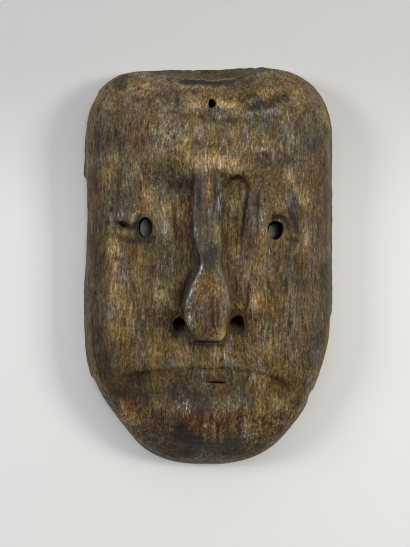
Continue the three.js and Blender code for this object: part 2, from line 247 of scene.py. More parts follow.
def ramp(a, b, t):
    """0 up to a, 1 from b on, smooth between."""
    k = np.clip((t - a) / (b - a), 0, 1)
    return k * k * (3 - 2 * k)


def fall(t):
    return np.exp(-t * t)


def away_from(x, y, place, reach):
    """Distance from a place, in shares of the reach along X and along Y."""
    return np.hypot((x - place[0]) / reach[0], (y - place[1]) / reach[1])


def mound(x, y, place, reach):
    """A soft round rise, 1 high."""
    return fall(away_from(x, y, place, reach))


def by_side(x, values):
    return np.where(x < 0, *values)


def soft_max(a, b, radius):
    h = np.maximum(radius - np.abs(a - b), 0) / radius
    return np.maximum(a, b) + h * h * radius / 4


def soft_min(a, b, radius):
    return -soft_max(-a, -b, radius)


def along(stations, y):
    """A smooth curve through (position, value) stations."""
    at, value = np.array(stations, float).T
    ahead = np.append(np.arange(1, len(at)), len(at) - 1)
    behind = np.append(0, np.arange(len(at) - 1))
    slope = (value[ahead] - value[behind]) / (at[ahead] - at[behind])
    y = np.clip(y, at[0], at[-1])
    k = np.clip(np.searchsorted(at, y) - 1, 0, len(at) - 2)
    step = at[k + 1] - at[k]
    t = (y - at[k]) / step
    return (
        value[k] * (1 + 2 * t) * (1 - t) ** 2
        + value[k + 1] * t * t * (3 - 2 * t)
        + slope[k] * step * t * (1 - t) ** 2
        - slope[k + 1] * step * t * t * (1 - t)
    )


# Numbers that scramble a lattice point and a seed, and an offset that keeps lattice points above 0
HASH_FACTORS = (374761393, 668265263, 974634777)
HASH_MIX = 1274126177
HASH_MASK = 0xFFFFFFFF
HASH_HALF = 32767.5
LATTICE_OFFSET = 4096
CLOUD_GAIN = 0.57
CLOUD_SEED_STEP = 17


def hashed(i, j, seed):
    """A fixed random number from -1 to 1 for each point of a lattice."""
    by_x, by_y, by_seed = HASH_FACTORS
    h = (i.astype(np.uint64) * by_x + j.astype(np.uint64) * by_y + seed * by_seed) & HASH_MASK
    h = ((h ^ (h >> np.uint64(13))) * np.uint64(HASH_MIX)) & HASH_MASK
    return ((h ^ (h >> np.uint64(16))) & 0xFFFF) / HASH_HALF - 1


def noise(x, y, seed):
    """Smooth noise from -1 to 1 on a lattice of unit cells."""
    i = np.floor(x)
    j = np.floor(y)
    u = x - i
    v = y - j
    u = u * u * u * (u * (u * 6 - 15) + 10)
    v = v * v * v * (v * (v * 6 - 15) + 10)
    i = i + LATTICE_OFFSET
    j = j + LATTICE_OFFSET
    low = hashed(i, j, seed) * (1 - u) + hashed(i + 1, j, seed) * u
    high = hashed(i, j + 1, seed) * (1 - u) + hashed(i + 1, j + 1, seed) * u
    return low * (1 - v) + high * v


def cloud(x, y, size, seed, octaves, stretch):
    """Layered noise with that size in millimetres; stretch draws it out along Y."""
    total = 0
    for k in range(octaves):
        layer = noise(x / size * 2**k, y / (size * stretch) * 2**k, seed + CLOUD_SEED_STEP * k)
        total = total + CLOUD_GAIN * 0.5**k * layer
    return total


def layers(table, x, y):
    """Sum of clouds: strength, size, seed, octaves, stretch."""
    return sum(strength * cloud(x, y, *layer) for strength, *layer in table)


# Outline of the rim

def middle_line(y):
    return JAW_LEAN * fall((y - JAW_LEAN_Y) / JAW_LEAN_REACH)


def even_reach(side, y):
    full = WIDTH / 2
    up = np.clip((y - CORNER_Y) / (CROWN_Y - CORNER_Y), 0, 1)
    down = np.clip((JAW_Y - y) / (JAW_Y - CHIN_Y), 0, 1)
    crown = CROWN_HALF + (full - CROWN_HALF) * np.sqrt(1 - up**CORNER_FULLNESS)
    square = by_side(side, CHIN_SQUARE) * ramp(CHIN_SQUARE_FROM, 1, down)
    jaw = np.maximum(CHIN_HALF, full * np.sqrt(1 - down * down) + square)
    return np.where(y > CORNER_Y, crown, np.where(y < JAW_Y, jaw, full))


def edge_wear(side, y):
    """A break is abrupt at its upper end and dies out downwards."""
    worn = 0
    for broken_side, top, length, depth in EDGE_WEAR:
        t = (top - y) / length
        worn = worn + (side == broken_side) * depth * ramp(*BREAK_START, t) * (1 - ramp(*BREAK_FADE, t))
    return worn


def reach(side, y, wear=1.0):
    return even_reach(side, y) - wear * edge_wear(side, y) + side * middle_line(y)


def bend(x, y):
    """How far the crown's end is pushed down at a point."""
    return CROWN_DROP * ramp(*CROWN_SAG, x) * (1 - ramp(*CROWN_PEAK, x)) * ramp(CORNER_Y, CROWN_Y, y)


def section(s, roundness):
    """Cross-section from the middle, 1, to the edge, 0."""
    return (1 - np.minimum(1, np.abs(s)) ** roundness) ** (1 / roundness)


EDGE_SCALE_X = 1 - 2 * WALL_DRAFT / WIDTH
EDGE_SCALE_Y = 1 - 2 * WALL_DRAFT / LENGTH


# The carved form, each part as a height over the rim

def block(x, y):
    s = np.abs(x) / (EDGE_SCALE_X * reach(by_side(x, (-1, 1)), y / EDGE_SCALE_Y, 0))
    return EDGE_HEIGHT + (along(FACE_CREST, y) - EDGE_HEIGHT) * section(s, FACE_ROUNDNESS)


def brow(x, y):
    return BROW_RISE * fall((y - BROW_Y) / BROW_DEPTH) * (1 - ramp(*BROW_FADE, np.abs(x) / BROW_HALF))


def trough(x, y):
    """A slot with a round upper end."""
    out = np.abs(x) - TROUGH_X + TROUGH_TAPER * np.maximum(TROUGH_TOP - y, 0)
    away = np.hypot(out, np.maximum(y - TROUGH_TOP, 0))
    edge = by_side(x, TROUGH_EDGE)
    inside = 1 - ramp(TROUGH_RADIUS - edge, TROUGH_RADIUS + TROUGH_LIP, away)
    return TROUGH_DEPTH * inside * ramp(*TROUGH_FADE, y)


def eyes(x, y):
    start, end = EYE_SLIT_X
    slit = ramp(start, start + EYE_SLIT_FADES[0], x) * (1 - ramp(end, end + EYE_SLIT_FADES[1], x))
    z = -EYE_SLIT_DEPTH * slit * fall((y - EYE_SLIT_Y) / EYE_SLIT_HALF)
    z = z - EYE_PIT_DEPTH * mound(x, y, EYE_PIT, EYE_PIT_REACH)
    for eye in EYES:
        z = z + EYE_MOUND * mound(x, y, eye, EYE_MOUND_REACH) - EYE_DISH * mound(x, y, eye, EYE_DISH_REACH)
    return z


def wings(x, y):
    risen = sum(WING_RISE * mound(x, y, wing, WING_REACH) for wing in WINGS)
    return risen - sum(NOSTRIL_DISH * mound(x, y, nostril, NOSTRIL_DISH_REACH) for nostril in NOSTRILS)


def droop(x):
    far = np.abs(x) / by_side(x, MOUTH_REACH)
    return by_side(x, DROOP) * np.minimum(MOUTH_END, far) ** MOUTH_BEND


def mouth(x, y):
    """How far the recess of the mouth lies below the face."""
    far = np.abs(x) / by_side(x, MOUTH_REACH)
    below = MOUTH_Y - droop(x) - y
    corner = fall((np.abs(x) - MOUTH_CORNER) / CORNER_SPREAD)
    step = np.maximum(MIDDLE_STEP * (1 - ramp(MIDDLE_STEP_FROM, MOUTH_END, far)), CORNER_STEP * corner)
    return step * ramp(0, LEDGE_EDGE, below) * (1 - ramp(RECESS_FROM, RECESS_TO, below))


def boss(x, y):
    away = np.minimum(1, away_from(x, y, BOSS, BOSS_HALF))
    return BOSS_RISE * (1 - away**BOSS_FLATNESS) ** BOSS_SOFTNESS


def nose(x, y):
    off = np.abs(x - along(NOSE_MIDDLE, y))
    half = along(NOSE_HALF, y)
    width = by_side(x - along(NOSE_MIDDLE, y), NOSE_SIDES)
    side = ramp(half - width / 2, half + width / 2, off)
    return along(NOSE_CREST, y) - NOSE_CROWN * (off / half) ** NOSE_CROWN_BEND - NOSE_SIDE * side


def crown_cut(x, y):
    spread = by_side(x, CROWN_CUT_SPREAD)
    return (CROWN_Y - y) * CROWN_CUT_SLOPE * (1 + (x / spread) ** 2)


def uncut(x, y):
    z = block(x, y) + brow(x, y) + eyes(x, y) + wings(x, y) + boss(x, y)
    return soft_max(z - trough(x, y) - mouth(x, y), nose(x, y), NOSE_BLEND)


def face(x, y):
    y = y + bend(x, y)
    return soft_min(uncut(x, y), crown_cut(x, y), CROWN_CUT_BLEND)


HOLLOW_SCALE_X = HOLLOW_HALF / (WIDTH / 2)
HOLLOW_SCALE_Y = (HOLLOW_TOP - HOLLOW_BOTTOM) / LENGTH
HOLLOW_MIDDLE = (HOLLOW_TOP + HOLLOW_BOTTOM) / 2


def hollow_reach(side, y):
    return HOLLOW_SCALE_X * (even_reach(side, (y - HOLLOW_MIDDLE) / HOLLOW_SCALE_Y) + side * middle_line(y))


def ceiling(x, y):
    s = np.abs(x) / hollow_reach(by_side(x, (-1, 1)), y)
    return HOLLOW_EDGE + (along(HOLLOW_CREST, y) - HOLLOW_EDGE) * section(s, HOLLOW_ROUNDNESS)


def gouge_marks(x, y):
    """Rows of shallow scoops, as a gouge leaves them, with low ridges between."""
    u = x / GOUGE_WIDTH + GOUGE_SWAY * noise(x / GOUGE_SWAY_SIZE[0], y / GOUGE_SWAY_SIZE[1], GOUGE_SEED)
    row = np.round(u)
    uneven = GOUGE_UNEVEN * noise(row, y / GOUGE_UNEVEN_SIZE, GOUGE_SEED + 1)
    v = y / GOUGE_LENGTH + uneven + GOUGE_OFFSET * row
    scoop = 1 - GOUGE_ROUND[0] * (u - row) ** 2 - GOUGE_ROUND[1] * (v - np.round(v)) ** 2
    return GOUGE_DEPTH * scoop + layers(GOUGE_GRAIN, x, y)


# Finer relief of the front

# Splits and creases: width, depth, then x and y of each point in turn. A ridge has a depth below 0.
LINES = [
    (0.5, 0.45, -17.2, 27, -17.5, 20, -17, 13), (0.45, 0.5, 3.2, 40, 3.4, 34),
    (0.5, 0.8, 10.6, 42, 12.4, 44.6, 14.6, 45.4, 17, 45, 19.2, 43.4, 20.4, 40.8),
    (0.6, 0.5, 20.4, 41, 20.6, 37.6, 20, 33.6, 19, 28.4, 18.4, 22, 17.4, 15, 16.4, 10),
    (1.3, -1, 22.4, 43, 23.6, 37, 23.2, 30, 21.4, 22, 21, 14, 23, 7),
    (0.9, 0.5, 27.4, 41, 25.6, 33, 25.4, 24, 25.8, 14), (0.7, 1, 27.6, 58.4, 31.2, 54.2),
    (0.45, 0.5, -26.2, -12.6, -23.8, -11.9, -21.3, -12.3), (0.35, 0.5, -3, -61.3, 4, -61, 13.5, -61.6),
    (0.35, 0.5, 13.6, -62.4, 19.2, -62.2), (2.2, -0.9, 22, 25.4, 27, 30, 34.6, 31.6, 42, 28, 47.5, 20.5),
    (0.9, 0.9, 32.6, 24, 35, 25, 38.6, 25, 40.8, 23, 42, 19.6), (1.8, 0.9, 41, 30, 44.6, 24, 46, 17),
    (1.9, -1.2, 43.4, 49, 45.6, 39, 49, 30, 52, 14), (1.2, -0.6, 29, 26, 34, 28, 40.4, 27.4),
    (1.2, -0.5, 40.4, 22, 41.6, 17.4, 39.8, 12.6),
    (1.1, -0.8, -40, 22, -38.8, 25.6, -35.6, 28, -31.4, 27.6), (0.9, 0.6, 39.6, 14.2, 44, 12.4, 48, 12.6),
    (0.9, 1.2, -46.5, 21.4, -42, 20, -37, 19.4), (1.1, -0.6, 22.2, 24, 26.4, 25.6, 30.6, 24.4),
    (1.8, -0.9, -23.4, 42, -24.8, 34, -25.2, 26, -24, 14), (1.4, 0.4, -47, 14.6, -40, 12, -33, 11.6),
    (0.6, 0.5, 20.6, -10, 20.2, -18, 19, -25), (0.5, 0.5, -62, -20, -60.6, -48, -55, -66),
    (1.6, 0.8, -8.6, -4, -12.4, -14, -14.2, -22), (0.7, -0.4, -2, 100.6, 10, 101.2, 24, 99.8),
]
PITS = [(-17.8, 65.8, 0.9, 1.0), (-50.7, 29.3, 0.7, 0.8), (-52.4, 22, 0.7, 0.8), (-16.4, -35.6, 1.6, 0.7)]
PIT_STRETCH = 1.5
WORM_HOLES = 46
WORM_SEED = 5
WORM_X = (-60, 60)
WORM_Y = (-95, 95)
WORM_RADIUS = (0.35, 0.7)
WORM_DEPTH = (0.5, 1.1)

# Between these heights the relief stops adding to the form, so that the mask keeps its depth
RELIEF_FADE = (48, 49.4)

# Growth rings round the heart of the log, which ran behind the mask
HEART_X = -4
HEART_Z = -38
RING_SPACING = 3.4
RING_START = 75
RING_SWAY = [(1.3, 30, 71, 2, 2.5), (0.35, 6, 77, 2, 3)]
RING_RISE = 0.16
RING_RISING = (0, 0.75)
RING_FALLING = (0.8, 1)

# Facets left by the blade, streaks and fibres, then spots where the surface has worn away
GRAIN = [(0.42, 15, 3, 2, 1.3), (0.2, 2.4, 11, 2, 12), (0.12, 1.2, 23, 1, 14)]
WORN_SPOTS = [(1, 2.0, 31, 2, 2.4)]
WORN_BETWEEN = (0.4, 0.7)
WORN_DEPTH = 0.35

# A split or ridge tapers to its ends: the least it comes down to, and the share of its width that stays
TAPER_LEAST = 0.04
TAPER_WIDTH = 0.45

# Farther than any point is from a line
FAR = 1e3


def line_distance(points, x, y):
    """Distance to a chain of straight stretches, and how far along it, 0 to 1, its nearest point is."""
    nearest = np.full_like(x, FAR)
    share = np.zeros_like(x)
    stretches = len(points) // 2 - 1
    for k in range(stretches):
        ax, ay, bx, by = points[2 * k : 2 * k + 4]
        dx = bx - ax
        dy = by - ay
        t = np.clip(((x - ax) * dx + (y - ay) * dy) / (dx * dx + dy * dy), 0, 1)
        away = np.hypot(x - ax - t * dx, y - ay - t * dy)
        closer = away < nearest
        share = np.where(closer, (k + t) / stretches, share)
        nearest = np.minimum(nearest, away)
    return nearest, share


def lines(x, y):
    """Height of the splits and ridges, and how dark each split is, 0 to 1."""
    z = np.zeros_like(x)
    dark = np.zeros_like(x)
    for width, depth, *points in LINES:
        away, share = line_distance(points, x, y)
        taper = np.sqrt(np.clip(4 * share * (1 - share), TAPER_LEAST, 1))
        mark = fall(away / (width * (TAPER_WIDTH + (1 - TAPER_WIDTH) * taper))) * taper
        z -= depth * mark
        if depth > 0:
            dark = np.maximum(dark, mark)
    return z, dark


def pits(x, y):
    rng = np.random.default_rng(WORM_SEED)
    listed = list(PITS)
    for _ in range(WORM_HOLES):
        listed.append([rng.uniform(*limits) for limits in (WORM_X, WORM_Y, WORM_RADIUS, WORM_DEPTH)])
    dark = np.zeros_like(x)
    z = np.zeros_like(x)
    for px, py, radius, depth in listed:
        mark = mound(x, y, (px, py), (radius, radius * PIT_STRETCH))
        z -= depth * mark
        dark = np.maximum(dark, mark)
    return z, dark


def ring_phase(x, y, z):
    """Counts growth rings outwards from the heart."""
    radius = np.hypot(x - HEART_X, z - HEART_Z)
    return (radius + layers(RING_SWAY, x, y) - RING_START) / RING_SPACING


def relief(x, y, z):
    """Tool marks, grain and growth rings, as a small height added to the carved form."""
    worn = WORN_DEPTH * ramp(*WORN_BETWEEN, layers(WORN_SPOTS, x, y))
    phase = ring_phase(x, y, z) % 1
    rings = RING_RISE * ramp(*RING_RISING, phase) * (1 - ramp(*RING_FALLING, phase))
    return layers(GRAIN, x, y) - worn + rings + lines(x, y)[0] + pits(x, y)[0]


def front_place(s, y):
    """A point of the face: s runs across from -1 to 1, and y up along the outline."""
    side = by_side(s, (-1, 1))
    share = np.abs(s)
    py = EDGE_SCALE_Y * y
    far = EDGE_SCALE_X * reach(side, y, UPPER_WEAR)
    middle = along(NOSE_MIDDLE, py)
    zone = np.minimum(along(NOSE_HALF, py) + NOSE_ZONE, NOSE_ZONE_SHARE * far)
    rest = np.clip((share - NOSE_ZONE_SHARE) / (1 - NOSE_ZONE_SHARE), 0, 1)
    start = middle + side * zone
    near_nose = middle + zone * s / NOSE_ZONE_SHARE
    x = np.where(share < NOSE_ZONE_SHARE, near_nose, start + (side * far - start) * rest)
    rough = 1
    for strength, length, seed in EDGE_WAVES:
        rough = rough + strength * noise(y / length, side * SIDE_APART, seed)
    x *= 1 - EDGE_ROUGHNESS * rough * share**EDGE_WAVE_BEND
    return x, py - bend(x, py) - crown_chips(x) * ramp(*CRUMBLE_Y, py)


def crown_chips(x):
    """How far the edge of the crown has crumbled away."""
    worn = CRUMBLE_DEPTH * np.maximum(0, noise(x / CRUMBLE_LENGTH, 0 * x, CRUMBLE_SEED) + CRUMBLE_SHARE)
    for at, half, depth in CROWN_NICKS:
        worn = worn + depth * fall((x - at) / half)
    return worn * (1 - fall((x - CROWN_PEAK[1]) / PEAK_HALF))


def front_columns():
    inner = NOSE_ZONE_SHARE * np.arange(1, NOSE_COLUMNS // 2 + 1) / (NOSE_COLUMNS // 2)
    t = np.arange(1, CHEEK_COLUMNS + 1) / CHEEK_COLUMNS
    outer = NOSE_ZONE_SHARE + (1 - NOSE_ZONE_SHARE) * (1 - (1 - t) ** EDGE_CROWDING)
    half = np.append(inner, outer)
    return np.concatenate([-half[::-1], [0], half])


def crowded(count):
    """Places from -1 to 1 that crowd towards both ends."""
    t = np.linspace(-1, 1, count)
    return np.sin(t * HOLLOW_CROWDING * math.pi) / math.sin(HOLLOW_CROWDING * math.pi)


def rim_loop(columns, rows):
    """Indices of a grid's boundary points, once round against the clock from its first corner."""
    index = np.arange(columns * rows).reshape(rows, columns)
    return np.concatenate([index[0, :-1], index[:-1, -1], index[-1, :0:-1], index[:0:-1, 0]])


def band(loop, following):
    """Faces between two closed loops of as many points."""
    return np.column_stack([loop, following, np.roll(following, -1), np.roll(loop, -1)])


def grid_faces(columns, rows, start=0, flip=False):
    j, i = np.mgrid[0 : rows - 1, 0 : columns - 1]
    a = (start + j * columns + i).ravel()
    quads = np.stack([a, a + 1, a + columns + 1, a + columns], axis=1)
    return quads[:, ::-1] if flip else quads


def mask_mesh():
    """The whole surface as one closed mesh: face, wall, rim and hollow."""
    s = front_columns()
    v = np.linspace(CHIN_Y, CROWN_Y, ROWS + 1)
    ss, vv = np.meshgrid(s, v)
    x, y = front_place(ss, vv)
    edge = np.minimum(1 - np.abs(ss), np.minimum(vv - CHIN_Y, CROWN_Y - vv) / (WIDTH / 2))
    form = face(x, y)
    added = relief(x, y, form)
    added = np.where(added > 0, added * (1 - ramp(*RELIEF_FADE, form)), added)
    z = form + added * ramp(0, RELIEF_EDGE, edge)
    points = [np.dstack([x, y, z]).reshape(-1, 3)]
    faces = [grid_faces(len(s), len(v))]
    loop = rim_loop(len(s), len(v))
    top = points[0][loop]
    count = len(points[0])

    # The wall leans out to the rim, and its lowest edge is eased
    foot = top[:, :2] / (EDGE_SCALE_X, EDGE_SCALE_Y)
    side = by_side(foot[:, 0], (-1, 1))
    share = np.abs(foot[:, 0]) / reach(side, foot[:, 1])
    foot[:, 0] -= side * (1 - UPPER_WEAR) * edge_wear(side, foot[:, 1]) * ramp(*FOOT_WEAR, share)
    ease = 1 - 2 * RIM_EASE / WIDTH
    foot = np.column_stack([foot, np.full(len(foot), RIM_EASE_HEIGHT)])
    rings = [top * (1 - t) + foot * t for t in np.arange(1, WALL_RINGS + 1) / WALL_RINGS]
    rings.append(foot * (ease, ease, 0))
    for ring in rings:
        following = np.arange(count, count + len(ring))
        faces.append(band(loop, following))
        points.append(ring)
        loop = following
        count += len(ring)

    # The hollow has half as many columns and rows
    hs = crowded((len(s) - 1) // 2 + 1)
    half_length = (HOLLOW_TOP - HOLLOW_BOTTOM) / 2
    hy = HOLLOW_MIDDLE + half_length * crowded(ROWS // 2 + 1)
    hss, hyy = np.meshgrid(hs, hy)
    hx = hss * hollow_reach(by_side(hss, (-1, 1)), hyy)
    edge = 1 - np.maximum(np.abs(hss), np.abs(hyy - HOLLOW_MIDDLE) / half_length)
    hz = ceiling(hx, hyy) + gouge_marks(hx, hyy) * ramp(0, GOUGE_EDGE, edge)
    inner = np.dstack([hx, hyy, hz]).reshape(-1, 3)
    hloop = rim_loop(len(hs), len(hy))
    lip = count + np.arange(len(hloop))
    points.append(inner[hloop] * (1, 1, 0))
    rim = []
    outer = zip(loop[::2], loop[1::2], np.roll(loop, -2)[::2])
    for (a0, a1, a2), b0, b1 in zip(outer, lip, np.roll(lip, -1)):
        rim += [(a0, b0, a1), (a1, b0, b1), (a1, b1, a2)]
    count += len(lip)
    points.append(inner)
    faces.append(grid_faces(len(hs), len(hy), count, flip=True))
    faces.append(band(lip, count + hloop))
    return np.concatenate(points), np.concatenate(faces).tolist() + rim


def add_object(name, data, place=(0, 0, 0)):
    obj = bpy.data.objects.new(name, data)
    obj.location = place
    bpy.context.scene.collection.objects.link(obj)
    return obj


def new_object(name, points, faces):
    mesh = bpy.data.meshes.new(name)
    mesh.from_pydata((np.asarray(points) * MM).tolist(), [], faces)
    mesh.update()
    return add_object(name, mesh)


def cutter(name, hole, seed, corners=0, turn=0, lean=0, slant=0, neck=(1, 1), low=CUT_BELOW, sides=28):
    """An irregular plug, wider at the face, to cut a hole with.

    Corners makes its outline a rounded triangle, turned that way. Slant is how far it moves up Y for
    each millimetre down, and neck the share of its width and height that is left from the neck on.
    """
    x, y, half_x, half_y = hole
    angle = np.linspace(0, 2 * math.pi, sides, endpoint=False)
    shape = 1 + corners * np.cos(3 * (angle - turn))
    c = math.cos(math.radians(lean))
    s = math.sin(math.radians(lean))
    points = []
    surface = float(face(np.array(x), np.array(y)))
    for z in np.linspace(low, CUT_ABOVE, CUT_LEVELS + 1):
        spread = np.interp(z, (surface - NECK_DEPTH, surface, CUT_ABOVE), HOLE_FLARE)
        narrow = np.clip((surface - z) / NECK_DEPTH, 0, 1)
        place = (np.cos(angle) * ROUGH_RADIUS + ROUGH_PLACE, np.sin(angle) * ROUGH_RADIUS + z / ROUGH_RISE)
        r = spread * (1 + HOLE_ROUGHNESS * noise(*place, seed)) * shape
        u = half_x * r * np.cos(angle) * (1 - (1 - neck[0]) * narrow)
        v = half_y * r * np.sin(angle) * (1 - (1 - neck[1]) * narrow)
        shifted = y + slant * (surface - z)
        points += list(zip(x + u * c - v * s, shifted + u * s + v * c, np.full(sides, z)))
    faces = [tuple(range(sides))[::-1], tuple(range(CUT_LEVELS * sides, (CUT_LEVELS + 1) * sides))]
    for k in range(CUT_LEVELS):
        for i in range(sides):
            j = (i + 1) % sides
            faces.append((k * sides + i, k * sides + j, (k + 1) * sides + j, (k + 1) * sides + i))
    return new_object(name, points, faces)


# Holes: name, place and size, seed of the roughness, shape
HOLES = [
    ("eye_hole", EYES[0], 40, {}),
    ("eye_hole", EYES[1], 41, {"corners": 0.05, "turn": 2.6, "neck": EYE_NECK}),
    ("nostril", NOSTRILS[0], 50, {"slant": NOSTRIL_SLANT}),
    ("nostril", NOSTRILS[1], 51, {"corners": 0.18, "turn": 1.2, "slant": NOSTRIL_SLANT}),
    ("nail_hole", NAIL_HOLE, 60, {"corners": 0.12, "turn": 4.2, "slant": NAIL_HOLE_SLANT, "sides": 12}),
    ("mouth_slit", MOUTH_SLIT, 70, {"lean": MOUTH_SLIT_LEAN, "low": MOUTH_SLIT_FLOOR}),
]


def cut(obj, tool):
    modifier = obj.modifiers.new("cut", "BOOLEAN")
    modifier.operation = "DIFFERENCE"
    modifier.solver = "MANIFOLD"
    modifier.object = tool
    bpy.context.view_layer.update()
    depsgraph = bpy.context.evaluated_depsgraph_get()
    mesh = bpy.data.meshes.new_from_object(obj.evaluated_get(depsgraph))
    obj.modifiers.clear()
    old = obj.data
    obj.data = mesh
    bpy.data.meshes.remove(old)
    bpy.data.objects.remove(tool)


def carve_mask():
    mask = new_object("carved_mask", *mask_mesh())
    for name, hole, seed, shape in HOLES:
        cut(mask, cutter(name, hole, seed, **shape))
    mask.data.name = "carved_mask"
    return mask


mask = carve_mask()
for polygon in mask.data.polygons:
    polygon.use_smooth = True
mask.data.set_sharp_from_angle(angle=math.radians(SHARP_ANGLE))


# How a patch fades at its edge, and how far outlines wander across and along the grain:
# reach, size, seed, octaves, stretch
COVER_BEND = 1.5
COVER_TIGHTNESS = 0.8
PATCH_WANDER = [(2.2, 5, 201, 3, 1.6), (3.4, 6, 211, 3, 1.6)]
STROKE_WANDER = [(0.7, 3, 221, 2, 1.6), (1.2, 4, 231, 2, 1.6)]
FACET_EDGE = (-0.4, 0.6)

# Patches of wear and dirt, and of painted shade and painted highlights. Each kind shifts the lightness,
# the warmth and the redness of the wood. Painted glint is apart: it is where pale flecks of painted
# highlight show.
KINDS = {
    "gold": (0.135, 0.095, -0.015),
    "ochre": (0.065, 0.055, -0.008),
    "ash": (0.07, -0.05, 0.012),
    "slate": (-0.06, -0.055, 0.01),
    "plum": (-0.04, -0.04, 0.03),
    "russet": (0, 0.04, 0.035),
    "olive": (-0.01, 0.03, -0.03),
    # Umber is dark patina, and in places painted shade
    "umber_and_shade": (-0.08, -0.01, 0.01),
    # Soot is dark dirt, and in places painted shadow
    "soot_and_shadow": (-0.17, -0.05, 0.006),
    # Painted highlight: crisp, pale, cool lines and spots where light catches the edges
    "painted_highlight": (0.17, -0.1, 0.012),
}

# Patches, from the crown down: x, y, half width, half height, strength and, where it leans, degrees
PATCHES = {}
PATCHES["ochre"] = [
    (-38.5, 95, 7, 5, 0.9), (-54, 83, 5, 8, 0.8), (14.5, 78, 7, 2.4, 0.8, 20), (-20, 72, 16, 10, 0.5),
    (-26, 69, 7, 3.4, 0.5), (-2, 66, 22, 8, 0.6), (27, 58, 9, 4, 0.9), (-8, 54.4, 16, 4, 0.4),
    (-34, 50, 6, 5, 0.9), (-52, 43, 2.6, 8, 0.7), (0, 42, 2.2, 7, 0.8), (-33.4, 39, 4, 10, 0.9),
    (-61.6, 28, 1.6, 9, 0.8), (-15.6, 26, 4.4, 13, 0.7), (13, 22, 5, 14, 0.9), (22.6, -4.6, 5.4, 6, 0.9),
    (3, -10, 5, 6, 0.6), (-47, -22, 6, 14, 0.8), (50.5, -34, 4, 6, 0.9), (-8, -45, 12, 4.4, 0.7),
    (-34, -49, 6, 4, 0.6), (22, -84, 4, 8, 0.8),
]
PATCHES["gold"] = [
    (-30, 92, 6, 3, 0.6), (31.2, 91, 5, 3, 0.7), (-4, 89, 6, 3, 0.4), (48.3, 88, 2.8, 6, 0.7),
    (-5.5, 84.4, 5.4, 3, 1.2), (9.6, 82.8, 6, 2.6, 1.5, -8), (61, 81, 1.5, 6, 0.5),
    (-61.5, 71, 1.5, 9, 0.7), (42.5, 66, 3.2, 7, 0.5), (-12, 59.5, 4, 4, 0.5), (-6, 55, 8, 3.4, 0.3, 20),
    (10, 53.4, 9, 2.2, 0.4, -12), (9, 51.5, 7, 2.8, 0.6), (6.5, 51.4, 11, 3.4, 1.3, -6),
    (52, 35, 3.2, 8, 0.6, 8), (51.8, 15, 2.2, 6, 0.4), (27.4, 14.6, 2.8, 6, 0.5), (-50.4, 6, 3, 7, 1.9),
    (-49, -16, 2.2, 9, 0.5), (-38, -18, 10, 14, 0.25), (-23.6, -18.4, 5, 6, 0.7), (24, -20, 6.4, 7.4, 0.9),
    (-41, -30, 2.6, 6, 0.5), (6.2, -35.4, 3.4, 2.2, 0.9), (-27, -40, 3.8, 7, 0.7), (32, -41, 3, 7, 0.6),
    (10, -44.6, 7, 3.4, 0.7), (-47.4, -58, 3.4, 6.4, 0.6), (56, -58, 1.8, 7, 0.4, -20),
    (27, -59.4, 4.4, 5, 0.9), (27.6, -75, 2, 9, 0.8), (-42.4, -78.4, 3.8, 8.4, 0.9, 18),
]
# Painted highlights: pale glints where light catches the brow, the eye rims, the troughs and the chin
PATCHES["painted_glint"] = [
    (-23, 64, 9, 5, 0.6), (20, 62, 14, 5, 0.35), (29, 58, 3, 2.4, 0.9), (11, 57.6, 5, 1.8, 0.8, -10),
    (-22.4, 31, 2.4, 5, 0.5), (34, 29.6, 6, 2.4, 0.6), (-46, 27, 1.6, 3.6, 1), (27.6, 25, 2.2, 4, 0.9),
    (-21, 17, 1.6, 3.6, 0.9), (-20, -69, 3, 2, 0.4), (9.4, -71, 7, 3.6, 0.7), (-12.4, -71.4, 4.4, 5.6, 1),
]
PATCHES["ash"] = [
    (-22, 72, 16, 9, 0.5), (28.4, 71.5, 6.6, 3.2, 0.6), (23, 28, 3, 14, 0.6), (-22.8, 26, 2.4, 15, 0.5),
    (28.4, 25, 2.6, 3.4, 0.7),
]
PATCHES["slate"] = [
    (28.4, 71.5, 6.6, 3.2, 1.5), (52, 68, 6, 16, 0.8), (-10, 64, 10, 3, 0.3), (36, 53, 7, 4.4, 0.6),
    (-22, 46, 5, 8, 0.8), (4, 32, 2, 10, 0.5), (24, 30, 3, 14, 0.6), (45.4, 29, 3.4, 9, 0.5),
    (0.4, 24, 6.4, 22, 0.6), (0.4, 7, 5.4, 7, 0.8), (40, 2, 6, 9, 0.4), (-20, 0, 5, 6, 0.6),
    (-13, -68, 8, 5, 1.2), (9, -71, 9, 4, 0.5),
]
PATCHES["plum"] = [
    (-46, 69, 14, 11, 0.8), (-34, 64.5, 5.6, 4, 0.7), (-4, 28, 3, 16, 0.7), (-58.4, -46, 3.6, 10, 0.9),
]
PATCHES["russet"] = [
    (-11.4, 24, 2.8, 16, 0.5), (27.4, 14, 3, 5, 0.9), (-1, -24, 9, 12, 0.4), (5, -35, 5, 2.6, 0.8),
    (-42, -79, 5, 9, 0.6, 18), (0, -83, 16, 8, 0.9),
]
